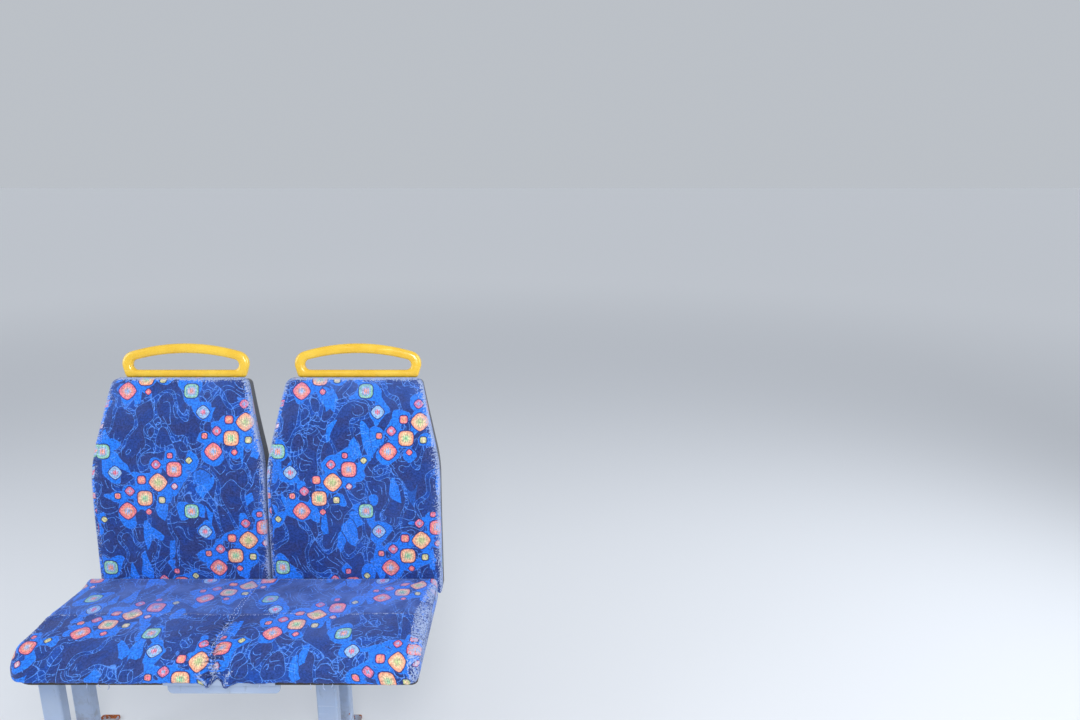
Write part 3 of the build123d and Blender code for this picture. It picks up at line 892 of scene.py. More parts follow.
# %% [markdown]
# ## Welds, bolts and screws
#
# Up close, a frame is told by its joints. The posts are welded to their heads and feet with a rippled bead,
# the feet are bolted down through washers, and the shells are held to the uprights by button-head screws.
# A bead is a small circle carried round the post's outline, with a radius that ripples like a row of coins.
# Bolts and screws are turned shapes: a radius for each height, cut to six flats where a spanner fits.


# %% Weld beads
coin_pitch, post_corner_r = 0.0048, 0.005
bead_low_r, bead_high_r, bead_lift = 0.0023, 0.0021, 0.0008


def weld_bead(centre, half_x, half_y, level, radius, seed):
    """A bead round a rounded rectangle: a circle of six points whose radius is 1 + a fifth of a sine."""
    signs = ((1, -1), (-1, -1), (-1, 1), (1, 1))
    corners = [(centre.x + a * half_x, centre.y + b * half_y) for a, b in signs]
    loop, outwards, run, _ = rounded_loop(corners, [post_corner_r] * 4, step=0.0014)
    uneven = np.random.default_rng(seed).uniform(-1, 1, 3)
    coins = 0.20 * np.sin(run * 2 * math.pi / coin_pitch) + 0.10 * np.sin(run * 47 + uneven[0] * 3)
    size = radius * (1 + coins)[:, None]
    angle = around(6)
    flat = loop[:, None] + outwards[:, None] * (size * np.cos(angle))[..., None]
    points = np.concatenate([flat, (level + size * np.sin(angle))[..., None]], -1)
    points = np.concatenate([points, points[:1]])
    return points, grid_faces(len(points), len(angle))


post_low, post_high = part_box("aisle_front_post")
half_post = ((post_high.x - post_low.x) / 2, (post_high.y - post_low.y) / 2)
beads = []
for number, post in enumerate(("aisle_front", "aisle_rear", "wall_front", "wall_rear")):
    low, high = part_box(f"{post}_post")
    beads.append(weld_bead((low + high) / 2, *half_post, low.z + bead_lift, bead_low_r, number))
    beads.append(weld_bead((low + high) / 2, *half_post, high.z - bead_lift, bead_high_r, number + 10))
weld_beads = joined("weld_beads", beads)
print("beads", len(beads))


# %% Bolts and screws
def turned_part(profile, place, axis, sides, flats=0):
    """Rings of a radius and a height about an axis. With flats, the radius follows a regular polygon."""
    profile, axis = np.asarray(profile), unit(np.asarray(axis, float))
    first = unit(np.cross(axis, (1.0, 0.0, 0.0) if abs(axis[0]) < 0.8 else (0.0, 1.0, 0.0)))
    second = np.cross(axis, first)
    angle = around(sides)[:, None]
    ring = first * np.cos(angle) + second * np.sin(angle)
    if flats:
        wedge = 2 * math.pi / flats
        ring = ring * (math.cos(wedge / 2) / np.cos(np.mod(angle, wedge) - wedge / 2))
    points = np.asarray(place) + ring[None] * profile[:, :1, None] + axis * profile[:, 1:, None]
    return points, grid_faces(len(profile), sides)


# profiles: a radius and a height above the face that the part sits on
washer = [(0.0, 0.0), (0.0056, 0.0), (0.0105, 0.0), (0.0110, 0.0006), (0.0110, 0.0016), (0.0105, 0.0020)]
washer += [(0.0056, 0.0020), (0.0, 0.0020)]
hex_head = [(0.0, 0.0020), (0.0086, 0.0020), (0.0092, 0.0024), (0.0092, 0.0070), (0.0080, 0.0082)]
hex_head += [(0.0, 0.0082)]
button = [(0.0, 0.0008), (0.0022, 0.0008), (0.0026, 0.0028), (0.0034, 0.0031), (0.0050, 0.0024)]
button += [(0.0060, 0.0010), (0.0062, -0.0006), (0.0, -0.0006)]

bolt_half_pitch = 0.055
bolts = []
for leg in ("aisle", "wall"):
    low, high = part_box(f"{leg}_foot")
    for bolt_y in (-bolt_half_pitch, bolt_half_pitch):
        spot = ((low.x + high.x) / 2, bolt_y, high.z)
        bolts += [turned_part(washer, spot, (0, 0, 1), 24), turned_part(hex_head, spot, (0, 0, 1), 24, 6)]
floor_bolts = joined("floor_bolts", bolts)

screw_spots = ((-0.128, 0.475), (0.128, 0.475), (-0.118, 0.800), (0.118, 0.800))
screws = []
for seat, place in places_x.items():
    shell_tree = face_tree(frame["nodes"][f"{seat}_back_shell"])
    for across, height in screw_spots:
        spot, normal, _, _ = shell_tree.ray_cast(Vector((place + across, 0.6, height)), Vector((0, -1, 0)))
        screws.append(turned_part(button, spot, normal, 18))
shell_screws = joined("shell_screws", screws)
print("bolts", len(bolts) // 2, "screws", len(screws))

# %% [markdown]
# ## Writing materials
#
# A procedural material is a graph of small sums. To keep such a graph readable, the output of a node is
# wrapped here as a wire, which can be added, multiplied and so on like a number: each sign places one Math
# node. An effect that several finishes share is a node group with named inputs and outputs, built once from
# a function and then called like one. Groups put out only colours, masks and heights. The Principled shader
# stays in the material, which is made from a recipe: a function of a place that says what goes into it.


# %% Wires that can be summed
class Wire:
    """The output of a node. Each of + - * / ** with a number or another wire places one Math node.

    A name or number in square brackets gives another output of the same node."""

    def __init__(self, socket):
        self.socket = socket

    def __getitem__(self, key):
        return Wire(self.socket.node.outputs[key])

    def __abs__(self):
        return calc("ABSOLUTE", self)


signs = {"add": "ADD", "sub": "SUBTRACT", "mul": "MULTIPLY", "truediv": "DIVIDE", "pow": "POWER"}
for sign, operation in signs.items():
    setattr(Wire, f"__{sign}__", lambda self, other, kind=operation: calc(kind, self, other))
    setattr(Wire, f"__r{sign}__", lambda self, other, kind=operation: calc(kind, other, self))


# %% Plugging values in, and placing nodes
def srgb(colour):
    """A screen colour, 0 to 255, as the linear colour that nodes use."""
    channel = np.array(colour) / 255
    linear = np.where(channel <= 0.04045, channel / 12.92, ((channel + 0.055) / 1.055) ** 2.4)
    return (*linear.tolist(), 1.0)


def plug(value, socket):
    """Wires a socket, or sets it to a plain value, which at a colour socket is a screen colour."""
    if isinstance(value, Wire):
        socket.id_data.links.new(value.socket, socket)
    else:
        socket.default_value = srgb(value) if socket.type == "RGBA" else value


def put(kind, wires=None, near=None, **settings):
    """One shader node, in the graph of the wires that go into it, or of the wire that it is put near.

    wires maps an input's name or number to a wire or a plain value. Returns the node's first output."""
    wires = wires or {}
    near = near or next(value for value in wires.values() if isinstance(value, Wire))
    node = near.socket.id_data.nodes.new("ShaderNode" + kind)
    for key, value in settings.items():
        setattr(node, key, value)
    for key, value in wires.items():
        plug(value, node.inputs[key])
    return Wire(node.outputs[0])


# %% Nodes that come up most
def calc(operation, *values):
    """A Math node on wires or numbers."""
    return put("Math", dict(enumerate(values)), operation=operation)


def vector(operation, *values):
    """A Vector Math node on wires or triples."""
    return put("VectorMath", dict(enumerate(values)), operation=operation)


def most(largest, *others):
    """The largest of several wires."""
    for other in others:
        largest = calc("MAXIMUM", largest, other)
    return largest


def waves(value, length):
    """A sine wave of a length along a value."""
    return calc("SINE", value * (2 * math.pi / length))


def axis(place, number):
    """One of the three numbers of a place."""
    return put("SeparateXYZ", {0: place})[number]


# %% Steps, colours and noise
def fit(value, start, end, low=0.0, high=1.0):
    """A smooth step from low to high while value goes from start to end."""
    wires = {"Value": value, "From Min": start, "From Max": end, "To Min": low, "To Max": high}
    return put("MapRange", wires, interpolation_type="SMOOTHSTEP")


def tint(share, first, second, mode="MIX"):
    """A colour that goes from first to second as share goes from 0 to 1."""
    return put("Mix", {0: share, 6: first, 7: second}, data_type="RGBA", blend_type=mode)[2]


def layered(colour, *layers):
    """A colour with others laid over it in turn, each given as a mask and a colour."""
    for mask, over in layers:
        colour = tint(mask, colour, over)
    return colour


def noise(place, scale, detail=2.0, roughness=0.5, distortion=0.0):
    """A Noise texture's value at a place."""
    wires = {"Scale": scale, "Detail": detail, "Roughness": roughness, "Distortion": distortion}
    return put("TexNoise", {"Vector": place} | wires)


def uneven(place, scale, detail=3.0, low=0.0, high=1.0, roughness=0.5):
    """Noise whose usual range, 0.3 to 0.7, is stretched to go from low to high."""
    return fit(noise(place, scale, detail, roughness), 0.3, 0.7, low, high)


# %% Moving a place, bending a normal
def shifted(place, move=(0, 0, 0), turn=(0, 0, 0), scale=(1, 1, 1)):
    """A place moved, turned and scaled by a Mapping node."""
    return put("Mapping", {"Vector": place, "Location": move, "Rotation": turn, "Scale": scale})


def pushed(place, field, amount):
    """A place moved by a noise: its colour less a half, times the amount."""
    way = vector("SUBTRACT", field["Color"], (0.5, 0.5, 0.5))
    return vector("ADD", place, put("VectorMath", {0: way, "Scale": amount}, operation="SCALE"))


def bump(strength, distance, height):
    """A normal that is bent by a height, as if it were that many metres high."""
    return put("Bump", {"Strength": strength, "Distance": distance, "Height": height})


# %% A node group from a function
socket_kinds = dict.fromkeys(("Place", "Move"), "Vector")
socket_kinds |= dict.fromkeys(("Color", "Ring", "Middle", "Core"), "Color")


def node_group(inputs, outputs):
    """Turns the function below it into a node group of its name, which is placed by calling that name.

    inputs and outputs name the sockets: numbers, but for those in socket_kinds. The function gets a wire for
    each input and returns one for each output."""

    def build(function):
        tree = bpy.data.node_groups.new(function.__name__, "ShaderNodeTree")
        for in_out, names in (("INPUT", inputs), ("OUTPUT", outputs)):
            for name in names:
                kind = "NodeSocket" + socket_kinds.get(name, "Float")
                tree.interface.new_socket(name=name, in_out=in_out, socket_type=kind)
        given = tree.nodes.new("NodeGroupInput").outputs
        asked = tree.nodes.new("NodeGroupOutput").inputs
        for result, socket in zip(function(*[Wire(given[name]) for name in inputs]), asked):
            plug(result, socket)
        print("group", tree.name, "nodes:", len(tree.nodes))
        return lambda *values: put("Group", dict(enumerate(values)), node_tree=tree)

    return build


# %% A material from a recipe
def make_material(name, recipe, uv_map=None):
    """A material from a recipe: a function of a place that maps the Principled shader's inputs to wires.

    The place is the Object coordinate, or the UV map of the given name."""
    material = bpy.data.materials.new(name)
    material.use_nodes = True
    nodes = material.node_tree.nodes
    shader = nodes["Principled BSDF"]
    if uv_map:
        source = nodes.new("ShaderNodeUVMap")
        source.uv_map = uv_map
        place = Wire(source.outputs["UV"])
    else:
        place = Wire(nodes.new("ShaderNodeTexCoord").outputs["Object"])
    for key, value in recipe(place).items():
        plug(value, shader.inputs[key])
    print(name, "nodes:", len(nodes))
    return material


# %% [markdown]
# ## Moquette
#
# Bus moquette is a dense wool pile, woven in a few strong colours so that dirt doesn't show. This one has a
# dusty navy ground, bright blue patches, thin light blue lines and clusters of hot-coloured motifs, in a
# half-drop repeat: each column of the pattern sits half a repeat higher than its neighbour.
#
# The motifs here are rounded lozenges and squares on a stepped diagonal. A motif is a distance: the sum of
# |x| and |y| raised to a power, which is a diamond at 1, a circle at 2 and a square far above. Rings and a
# core are bands of that distance. The ovals of the ground and the thin lines are contours of smooth noise,
# like the lines of equal height on a map. The patches are a few narrow cells, picked by their random number,
# whose walls are bent by noise. All of it could be an image, but a formula stays sharp at any distance.

# %% One motif of the pattern
repeat_wide, repeat_high = 0.214, 0.296
stripe_pitch = 0.0046
outline_yarn = (44, 52, 112)
yarn = {
    "coral": (238, 112, 130),
    "orange": (248, 160, 122),
    "yellow": (236, 208, 160),
    "lime": (180, 200, 128),
    "green": (138, 208, 156),
    "cyan": (140, 186, 232),
    "magenta": (200, 108, 158),
    "cream": (226, 196, 202),
}
motif_inputs = ["Place", "Centre X", "Centre Y", "Radius", "Squareness", "Ring", "Middle", "Core"]


@node_group(motif_inputs, ["Color", "Mask", "Inside"])
def motif(place, centre_x, centre_y, radius, power, ring, middle, core):
    """The nearest copy of the motif on the half-drop lattice, as bands of its rounded distance.

    The column is the rounded number of repeats across, and each column is moved up by half a repeat."""
    split = put("SeparateXYZ", {0: place})
    x = split[0] - centre_x
    column = calc("ROUND", x / repeat_wide)
    x = x - column * repeat_wide
    y = split[1] - centre_y - column * (repeat_high / 2)
    y = y - calc("ROUND", y / repeat_high) * repeat_high
    away = ((abs(x) / radius) ** power + (abs(y) / radius) ** power) ** (1.0 / power)
    stripes = waves(split[0], stripe_pitch)
    inner = away + stripes * 0.20
    colour = layered(
        core,
        (fit(inner, 0.26, 0.40), middle),
        (fit(inner, 0.60, 0.78), ring),
        (fit(stripes, 0.2, 0.9, 0.0, 0.30), yarn["cream"]),
        (fit(away, 0.97, 1.02), outline_yarn),
    )
    inside = (1.0 - away) * radius
    return colour, fit(inside, -0.0026, -0.0020), inside


# %% The repeat: where each motif sits, how big it is and its colours
lozenge, square = 1.45, 3.2
motif_scale = 0.94

# centre across and up in metres, radius, squareness, then ring, middle and core
motif_table = [
    (0.030, 0.030, 0.0225, lozenge, "coral", "orange", "cyan"),
    (0.074, 0.062, 0.0190, square, "orange", "yellow", "green"),
    (0.038, 0.080, 0.0120, lozenge, "magenta", "coral", "cyan"),
    (0.108, 0.102, 0.0235, lozenge, "orange", "yellow", "lime"),
    (0.068, 0.108, 0.0100, square, "coral", "orange", "orange"),
    (0.148, 0.134, 0.0190, square, "coral", "orange", "cyan"),
    (0.104, 0.146, 0.0115, lozenge, "coral", "magenta", "cyan"),
    (0.116, 0.058, 0.0080, square, "lime", "yellow", "yellow"),
    (0.082, 0.028, 0.0075, lozenge, "coral", "coral", "orange"),
    (0.148, 0.092, 0.0080, lozenge, "magenta", "cream", "cream"),
    (0.008, 0.068, 0.0070, square, "orange", "coral", "coral"),
    (0.184, 0.156, 0.0080, lozenge, "lime", "yellow", "lime"),
    (0.138, 0.168, 0.0065, square, "coral", "coral", "magenta"),
    (0.188, 0.030, 0.0180, square, "green", "cyan", "orange"),
    (0.004, 0.126, 0.0170, lozenge, "cyan", "cyan", "coral"),
]
print("motifs in one repeat:", len(motif_table))


# %% Bent cells
@node_group(["Place", "Move", "Size", "Bend", "Curl"], ["Number", "Wall"])
def bent_cells(place, move, size, bend, curl):
    """Voronoi cells of a size in metres, on a place that smooth noise of a wavelength (curl) has pushed.

    Number is random for each cell. Wall is the distance to the nearest wall, in metres."""
    moved = vector("ADD", place, move)
    wires = {"Vector": pushed(moved, noise(moved, 1.0 / curl, 0.0), bend), "Scale": 1.0 / size}
    walls = put("TexVoronoi", wires, feature="DISTANCE_TO_EDGE", voronoi_dimensions="2D")["Distance"]
    picked = put("TexVoronoi", wires, feature="F1", voronoi_dimensions="2D")["Color"]
    return put("SeparateColor", {0: picked}), walls * size


# %% Contour lines
@node_group(["Place", "Size", "Levels"], ["Height", "Line"])
def contours(place, size, levels):
    """Smooth hills of noise, of a size in metres, and lines of equal height on them, as on a map.

    Line is the distance to the nearest line in metres: the height still missing to the nearest level,
    divided by the slope, which is the height gained over a small step each way."""
    step = 0.0015
    moves = ((0, 0, 0), (step, 0, 0), (0, step, 0))
    height, ahead, beside = (noise(vector("ADD", place, move), 1.0 / size, 0.0) for move in moves)
    slope = calc("SQRT", (ahead - height) ** 2.0 + (beside - height) ** 2.0) / step
    missing = abs(calc("FRACT", height * levels) - 0.5) / levels
    return height, missing / calc("MAXIMUM", slope, 0.5)


# %% [markdown]
# ### Wear on the cloth
#
# Pile wears off first where the cloth bends over an edge, and what is left looks like pale, fuzzy dots.
# Where people sit, the colours only turn a little hazy. Both are numbers at the vertices: `wear` is high
# along seams and creases, and `rub` covers broad areas. The material breaks them up with fine noise.


# %% Worn pile
@node_group(["Place", "Wear", "Rub"], ["Haze", "Fuzz"])
def worn_pile(place, wear, rub):
    """Haze is rub, made uneven. Fuzz is dots that join up as wear grows, from noise held against wear."""
    broad = noise(place, 20.0, 3.0, 0.6)
    dots = noise(place, 240.0, 1.0, 0.6) * 0.62 + noise(place, 620.0, 2.0, 0.7) * 0.38
    fuzz = fit(dots + (wear * 0.26 + (broad - 0.5) * 0.25), 0.61, 0.69)
    return rub * fit(broad, 0.3, 0.7, 0.35, 1.0), fuzz * fit(wear, 0.02, 0.20)


# %% The moquette's pattern
belt_half = 0.049
line_blue = (90, 152, 250)


def moquette_ground(uv, place):
    """Dusty navy ovals with a bluer belt between them, and thin lines in the belt and here and there outside.

    The ovals are the hills and hollows of one field of noise. The lines are contours of two kinds: the
    belt's own borders, and those of three finer fields."""
    ripple = noise(uv, 26.0)
    hills = contours(shifted(place, (0, 0, 0.43), (0, 0, 0.35), (1, 0.72, 1)), 0.052, 14.0)
    from_middle = abs(hills["Height"] - 0.5)
    belt = fit(from_middle, belt_half + 0.002, belt_half - 0.002)
    ovals = tint(fit(ripple, 0.40, 0.60), (43, 59, 121), (33, 62, 137))
    ground = tint(belt, ovals, tint(fit(ripple, 0.40, 0.58), (34, 62, 134), (26, 72, 164)))
    lines = [fit(abs(from_middle - belt_half) / 6.0, 0.00100, 0.00050)]
    for size, levels, move, outside in (
        (0.050, 8.0, (0.9, 0.4, 0.27), 0.56),
        (0.034, 4.5, (2.3, 1.1, 0.31), 0.54),
        (0.062, 10.0, (4.1, 2.7, 0.39), 0.60),
    ):
        curves = contours(shifted(place, move, (0, 0, move[0])), size, levels)
        spot = shifted(uv, move=move)
        here = most(belt, fit(noise(spot, 14.0, 0.0), outside, outside + 0.02))
        gaps = fit(noise(spot, 34.0, 0.0), 0.42, 0.46)
        lines.append(fit(curves["Line"], 0.00098, 0.00052) * (here * gaps))
    return ground, most(*lines)


def leaning_patches(place):
    """A few of the narrow cells, leaning both ways."""
    filled = []
    for turn, stretch, move, rare in ((0.55, 0.42, (0, 0, 0), 0.93), (-0.75, 0.50, (1.7, 0.6, 0), 0.945)):
        leaning = shifted(place, turn=(0, 0, turn), scale=(1, stretch, 1))
        narrow = bent_cells(leaning, move, 0.024, 0.040, 0.045)
        filled.append(fit(narrow["Number"], rare, rare + 0.01) * fit(narrow["Wall"], 0.0004, 0.0010))
    return most(*filled)


def with_motifs(colour, place, blue):
    """The motifs, with a smooth blue patch and its paler rim behind each cluster."""
    drawn = []
    for x, y, radius, power, *bands in motif_table:
        drawn.append(motif(place, x, y, motif_scale * radius, power, *[yarn[band] for band in bands]))
    rim = most(*[one["Inside"] for one in drawn]) + (noise(place, 24.0, 0.5) - 0.5) * 0.075
    patch = [(fit(rim, -0.0102, -0.0090), (66, 126, 228)), (fit(rim, -0.0088, -0.0080), blue)]
    return layered(colour, *patch, *[(one["Mask"], one["Color"]) for one in drawn])


# %% The moquette material
knit_shift, rib_pitch, pucker_pitch = 0.0016, 0.0017, 0.0095
line_share, haze_share, fuzz_share = 0.74, 0.60, 0.85


def moquette_recipe(uv):
    """Patterned pile. The pattern runs on the cover's own UV map in metres, so it follows the cloth."""
    place = pushed(uv, noise(uv, 480.0, 1.0), knit_shift)
    blue = tint(noise(uv, 55.0), (28, 112, 228), (40, 130, 250))
    ground, lines = moquette_ground(uv, place)
    colour = layered(ground, (leaning_patches(place), blue), (lines * line_share, line_blue))
    colour = with_motifs(colour, place, blue)

    # pile: fine fibres and tufts that darken the colour a little
    fibre, tuft = noise(uv, 900.0, 2.0, 0.7), noise(uv, 230.0, 2.0, 0.7)
    shade = fit(fibre, 0.25, 0.75, 0.72, 1.25) * fit(tuft, 0.28, 0.72, 0.62, 1.32)
    shade = shade * uneven(uv, 150.0, 2.0, 0.80, 1.20, 0.7)
    colour = tint(1.0, colour, put("CombineColor", {0: shade, 1: shade, 2: shade}), "MULTIPLY")

    # puckers: short creases across the gathered seam, darkened in their troughs by painted shade
    names = ("gather", "gather_run", "rub", "wear")
    gather, run, rub, wear = (put("Attribute", near=uv, attribute_name=name)["Fac"] for name in names)
    phase = run * (2 * math.pi / pucker_pitch) + noise(uv, 45.0, 1.0) * 14.0
    pucker = calc("SINE", phase) * gather

    # over the puckers, painted shade in their troughs and a painted highlight on their crests, then haze
    # where people sit, and pale fuzz where the pile has gone
    worn = worn_pile(uv, wear, rub)
    colour = layered(
        colour,
        # painted shade in the troughs of the puckers, then a painted highlight on their crests
        (fit(pucker, -0.05, -0.55, 0.0, 0.8), (22, 26, 62)),
        (fit(pucker, 0.2, 0.8, 0.0, 0.4), (120, 150, 220)),
        (worn["Haze"] * haze_share, (94, 130, 212)),
        (worn["Fuzz"] * fuzz_share, (166, 182, 216)),
    )
    height = fibre * 0.7 + waves(axis(uv, 0), rib_pitch) * 0.18 + tuft * 0.5 + pucker * 1.6
    return {
        "Base Color": colour,
        "Roughness": fit(fibre, 0.2, 0.8, 0.78, 0.98),
        "Specular IOR Level": 0.25,
        "Sheen Weight": 0.18,
        "Sheen Roughness": 0.45,
        "Sheen Tint": (190, 205, 250),
        "Normal": bump(0.55, 0.0012, height),
    }


moquette = make_material("moquette", moquette_recipe, uv_map="weave")

# %% [markdown]
# ## Effects that several finishes share
#
# Paint, plastic and wood all gather dust on what faces up, get fine scratches, and vary a little in tone.
# Each effect is a group that puts out a mask, with inputs for how much and how big. The mask is its first
# output, so a call of the group can be used as the mask itself.


# %% Shared groups
@node_group(["Place", "Amount"], ["Mask"])
def dust(place, amount):
    """High on what faces up and a little everywhere, in broad patches of noise."""
    upward = axis(put("NewGeometry", near=place)["Normal"], 2)
    settled = fit(upward, 0.1, 0.95) * 0.6 + 0.12
    return (settled * fit(noise(place, 28.0, 4.0, 0.65), 0.34, 0.66, 0.25, 1.0) * amount,)


@node_group(["Place", "Size"], ["Mask"])
def scratches(place, size):
    """Streaks in three directions: the crests of noise that is squeezed 34 times across them."""
    streaks = []
    for turn in ((0.2, 0.1, 0.5), (1.1, 0.6, -0.8), (0.4, 1.3, 1.9)):
        squeezed = shifted(place, turn=turn, scale=(1.0, 34.0, 34.0))
        streaks.append(fit(noise(squeezed, size, 1.0), 0.700, 0.745))
    return (most(*streaks),)


@node_group(["Place", "Size", "Cover"], ["Mask", "Height"])
def blotches(place, size, cover):
    """Islands of ragged noise, where it rises above one less the cover."""
    above = noise(place, size, 6.0, 0.68, 0.3) - (1.0 - cover)
    return fit(above, -0.012, 0.012), above


# %% [markdown]
# ## Paint on steel
#
# The frame is steel tube in a light blue-grey powder coat. It chips along corners, takes fine scratches from
# shoes, and rusts where mops and wet floors reach it, so the last hand's breadth of each post is orange.
# A Bevel node finds the edges: it rounds the normal there, and the angle to the flat normal is the mask.


# %% Frame paint
def edge_mask(place, radius):
    """High where the surface turns: one less the dot product of the bevelled and the plain normal."""
    rounded = put("Bevel", {"Radius": radius}, near=place, samples=4)
    plain = put("NewGeometry", near=place)["Normal"]
    return 1.0 - vector("DOT_PRODUCT", rounded, plain)["Value"]


def frame_recipe(place):
    """Blue-grey powder coat over steel, with chips, scratches, dust, and rust that climbs from the floor."""
    height = axis(place, 2)
    lines, dirt, grain = scratches(place, 5.0), dust(place, 0.9), noise(place, 260.0, 4.0, 0.7)
    scuff = fit(noise(shifted(place, scale=(1, 1, 0.25)), 60.0, 4.0, 0.7), 0.60, 0.74)
    splash = fit(height, 0.20, 0.02) * fit(noise(place, 45.0, 4.0, 0.7), 0.42, 0.62)
    cover = fit(height, 0.085, 0.004) * 0.25 + 0.285 + fit(edge_mask(place, 0.003), 0.01, 0.12) * 0.06
    rust = blotches(place, 34.0, cover)
    colour = layered(
        tint(uneven(place, 7.0), (150, 170, 203), (168, 187, 216)),
        (lines * 0.35, (198, 208, 224)),
        (scuff * 0.35, (92, 100, 118)),
        (dirt, (150, 142, 130)),
        (splash * 0.5, (118, 104, 92)),
        (rust, tint(fit(grain, 0.35, 0.65), (96, 44, 22), (186, 98, 40))),
    )
    bumps = noise(place, 420.0, 1.0) * 0.25 + rust * fit(grain, 0.2, 0.8) - lines * 0.2
    return {
        "Base Color": colour,
        "Roughness": most(uneven(place, 90.0, 3.0, 0.34, 0.46), rust * 0.92, dirt * 0.8),
        "Normal": bump(0.5, 0.0008, bumps),
    }


frame_paint = make_material("frame_paint", frame_recipe)

# %% [markdown]
# ## Yellow handles
#
# The handles are steel or aluminium loops in a thick, glossy golden-yellow coat, so that weak eyes find
# them. Hands polish the top bar and leave grey grime low down. A clear coat over a slightly rough base
# gives the wet-looking highlight, and a faint orange-peel bump keeps it from looking like plastic film.


# %% Handle coat
def handle_recipe(place):
    """Golden-yellow gloss with orange peel, thin scratches, and grime where the loop meets the back."""
    lines = scratches(place, 8.0)
    low = fit(axis(place, 2), back_top_z + 0.010, back_top_z - 0.006)
    grime = fit(noise(place, 70.0, 5.0, 0.7), 0.50, 0.70) * (low * 0.22 + 0.06)
    colour = layered(
        tint(uneven(place, 16.0), (230, 184, 44), (238, 198, 62)),
        (lines * 0.30, (252, 230, 130)),
        (grime, (122, 96, 40)),
        (blotches(place, 95.0, 0.262), (120, 112, 96)),
    )
    return {
        "Base Color": colour,
        "Roughness": most(uneven(place, 40.0, 4.0, 0.20, 0.34, 0.6), grime * 0.8),
        "Coat Weight": 0.55,
        "Coat Roughness": 0.12,
        "Normal": bump(0.18, 0.0006, noise(place, 330.0, 1.0) - lines * 0.5),
    }


handle_yellow = make_material("handle_yellow", handle_recipe)

# %% [markdown]
# ## Moulded shells, board and caps
#
# The shells behind the backs are dark grey moulded plastic with a fine leather-like grain, greasy where
# knees push and scuffed pale on the edges. The board is film-faced plywood, near black on its faces, with
# its layers showing as stripes on the edge; both are painted darker than the wood's own dark brown, as the
# shadow under the hem. The tube caps are plain black polyethylene.


# %% Shell plastic
def shell_recipe(place):
    """Grained grey plastic: a cell noise for the grain, pale scuffs on the edges and in the knee area."""
    height = axis(place, 2)
    knee = fit(height, 0.42, 0.55) * fit(height, 0.78, 0.62)
    scuff = scratches(place, 11.0) * (knee * 0.30 + 0.12)
    edge = fit(edge_mask(place, 0.004), 0.02, 0.2) * fit(noise(place, 60.0, 4.0, 0.7), 0.42, 0.62)
    colour = tint(uneven(place, 5.0), (72, 76, 84), (84, 88, 97))
    scuffed = (most(scuff, edge * 0.6), (150, 154, 160))
    cells = put("TexVoronoi", {"Vector": place, "Scale": 620.0}, feature="DISTANCE_TO_EDGE")["Distance"]
    return {
        "Base Color": layered(colour, scuffed, (dust(place, 0.8), (140, 134, 124))),
        "Roughness": uneven(place, 20.0, 3.0, 0.46, 0.62),
        "Normal": bump(0.35, 0.0004, fit(cells, 0.0, 0.35)),
    }


# %% Board and caps
ply_pitch = 0.003


def board_in_painted_shadow_recipe(place):
    """Film-faced plywood: a dark brown film, with thin plies in light and dark along the cut edge, all
    painted near black as the shadow under the hem.
    """
    upward = axis(put("NewGeometry", near=place)["Normal"], 2)
    fibres = noise(shifted(place, scale=(3, 3, 260)), 14.0, 4.0, 0.6)
    # painted shadow: the plies of the cut edge are kept near black, so that the edge reads as the shadow
    # under the hem
    wood = tint(fit(waves(axis(place, 2), ply_pitch), -0.4, 0.4), (40, 31, 25), (58, 46, 36))
    wood = tint(fit(fibres, 0.3, 0.7), wood, (30, 24, 20))
    # painted shadow: the film's own dark brown is taken down to near black, for the same shadow
    film = tint(uneven(place, 12.0, 5.0), (34, 26, 22), (50, 39, 32))
    return {
        "Base Color": layered(film, (fit(abs(upward), 0.6, 0.3), wood), (dust(place, 0.8), (120, 112, 100))),
        "Roughness": fit(fibres, 0.2, 0.8, 0.55, 0.85),
        "Normal": bump(0.4, 0.0006, fibres),
    }


def cap_recipe(place):
    """Black polyethylene with a soft sheen of dust and fine scratches."""
    colour = tint(scratches(place, 14.0) * 0.4, (26, 27, 29), (88, 90, 94))
    return {
        "Base Color": tint(dust(place, 1.0), colour, (122, 116, 106)),
        "Roughness": uneven(place, 60.0, 3.0, 0.42, 0.6),
    }


# %% [markdown]
# ## Thread, bolts and screws
#
# The sewing thread is thick polyester, paler than the cloth, with a twist and some dirt. The bolts and screws
# are zinc-plated: grey metal with spangles, brown rust in the pits and dust on what faces up. Rust and dust
# aren't metal, so their masks take the metallic value away.


# %% Thread and plated steel
def thread_recipe(place):
    """Thick polyester thread, pale blue-grey, with a fine twist along it and dirt in between."""
    twist = noise(place, 900.0)
    colour = tint(fit(twist, 0.35, 0.65), (146, 166, 214), (208, 220, 246))
    return {
        "Base Color": tint(fit(noise(place, 120.0), 0.55, 0.70), colour, (92, 112, 168)),
        "Roughness": fit(twist, 0.3, 0.7, 0.45, 0.7),
        "Normal": bump(0.4, 0.0004, twist),
    }


def steel_recipe(place):
    """Zinc-plated steel: a spangled grey metal, with brown rust in its pits and dust on what faces up."""
    spangle = put("TexVoronoi", {"Vector": place, "Scale": 420.0})["Distance"]
    rust, dirt = blotches(place, 160.0, 0.48), dust(place, 0.6)
    metal = tint(fit(spangle, 0.2, 0.7), (150, 152, 156), (186, 188, 190))
    return {
        "Base Color": layered(metal, (rust, (128, 72, 38)), (dirt, (136, 128, 116))),
        "Metallic": 1.0 - most(rust, dirt),
        "Roughness": fit(rust, 0.0, 1.0, 0.36, 0.85),
        "Normal": bump(0.4, 0.0003, rust["Height"]),
    }


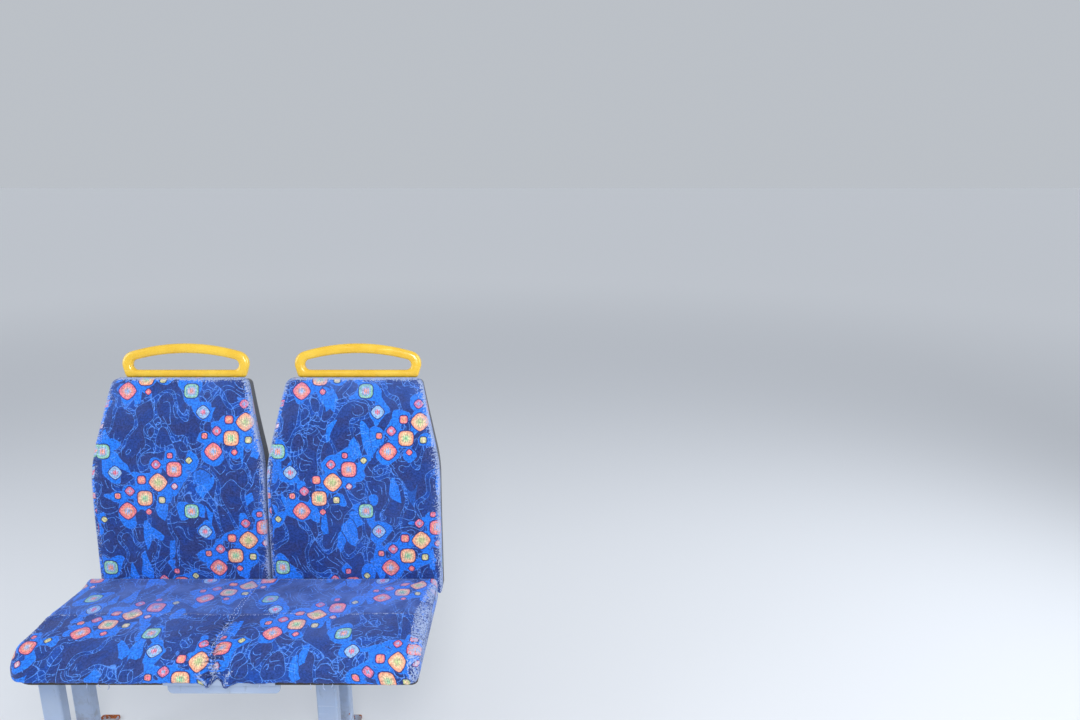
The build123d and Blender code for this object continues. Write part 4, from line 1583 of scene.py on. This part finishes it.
finishes = {
    "seat_fabric": moquette,
    "frame_paint": frame_paint,
    "handle_yellow": handle_yellow,
    "shell_grey": make_material("shell_grey", shell_recipe),
    "board_wood": make_material("board_wood", board_in_painted_shadow_recipe),
    "cap_black": make_material("cap_black", cap_recipe),
}
thread = make_material("sewing_thread", thread_recipe)
plated_steel = make_material("plated_steel", steel_recipe)

# %% Give every construction node its finish
node_finish = {row["node"]: row["material_slot"] for row in frame["record"]["subparts"]}
for name, node in frame["nodes"].items():
    node.data.materials.clear()
    node.data.materials.append(finishes[node_finish[name]])
print("finished nodes:", len(node_finish))

# %% The covers ride on the seat and stand for its pads
covers = {"bench_cushion": bench, "aisle_back_pad": backs["aisle"], "wall_back_pad": backs["wall"]}
for pad, cover in covers.items():
    cover.data.materials.append(moquette)
    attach(cover, "root")
    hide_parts(pad)
print("covers stand for", *covers)

# %% Thread, trim and handles ride along
for piece, finish, slot in (
    (seam_thread, thread, "seat_fabric"),
    (loose_threads, thread, "seat_fabric"),
    (clip, frame_paint, "frame_paint"),
    (weld_beads, frame_paint, "frame_paint"),
    (floor_bolts, plated_steel, "frame_paint"),
    (shell_screws, plated_steel, "frame_paint"),
    (handles["aisle"], handle_yellow, "handle_yellow"),
    (handles["wall"], handle_yellow, "handle_yellow"),
):
    piece.data.materials.append(finish)
    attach(piece, "root")
for seat, loop in handles.items():
    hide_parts(f"{seat}_grab_handle")
print("loops stand for", len(handles), "grab handles")

# %% [markdown]
# ## Floor, light and the last line
#
# The seat stands on a plain pale floor, which glows a little far out, so that it meets the sky without a
# dark band. The light is soft: a pale sky all round, one wide lamp above the camera, as a flash would be,
# and one wide lamp at each side.


# %% Floor
floor_half, glow_start, glow_end = 60, 2.5, 9.0
floor_colour, glow_colour = (224, 226, 230), (99.09, 100.21, 100.95)


def floor_recipe(place):
    """A pale grey that comes to glow between two distances from the seat."""
    far = fit(vector("LENGTH", place)["Value"], glow_start, glow_end)
    return {
        "Base Color": floor_colour,
        "Roughness": 0.7,
        "Emission Strength": 1.0,
        "Emission Color": tint(far, (0, 0, 0), glow_colour),
    }


floor_mesh = bpy.data.meshes.new("floor")
floor_corners = [(a * floor_half, b * floor_half, 0) for a, b in ((-1, -1), (1, -1), (1, 1), (-1, 1))]
floor_mesh.from_pydata(floor_corners, [], [(0, 1, 2, 3)])
floor_mesh.materials.append(make_material("pale_floor", floor_recipe))
floor = bpy.data.objects.new("floor", floor_mesh)
scene.collection.objects.link(floor)

# %% Sky
sky_colour, sky_strength = (232, 238, 246), 0.62
sky = bpy.data.worlds.new("sky")
sky.use_nodes = True
background = sky.node_tree.nodes["Background"]
plug(sky_colour, background.inputs["Color"])
plug(sky_strength, background.inputs["Strength"])
scene.world = sky
scene.view_settings.view_transform = "Standard"
print("sky", sky_colour, "strength", sky_strength)


# %% Lamps
def soft_lamp(name, place, aim, size, power, colour):
    """A square area lamp at a place, turned to its aim."""
    data = bpy.data.lights.new(name, "AREA")
    data.size, data.energy, data.color = size, power, colour
    lamp = bpy.data.objects.new(name, data)
    lamp.location = place
    lamp.rotation_euler = (Vector(aim) - Vector(place)).to_track_quat("-Z", "Y").to_euler()
    scene.collection.objects.link(lamp)
    print("lamp", name, power, "W")


soft_lamp("flash", (0.9, -2.3, 2.1), (0.15, 0.0, 0.55), 0.9, 46.0, (1.0, 0.98, 0.95))
soft_lamp("side_left", (-2.6, -0.6, 1.9), (0.1, 0.0, 0.6), 1.8, 34.0, (0.92, 0.96, 1.0))
soft_lamp("side_right", (3.0, 0.2, 2.0), (0.2, 0.0, 0.6), 1.8, 40.0, (0.92, 0.96, 1.0))
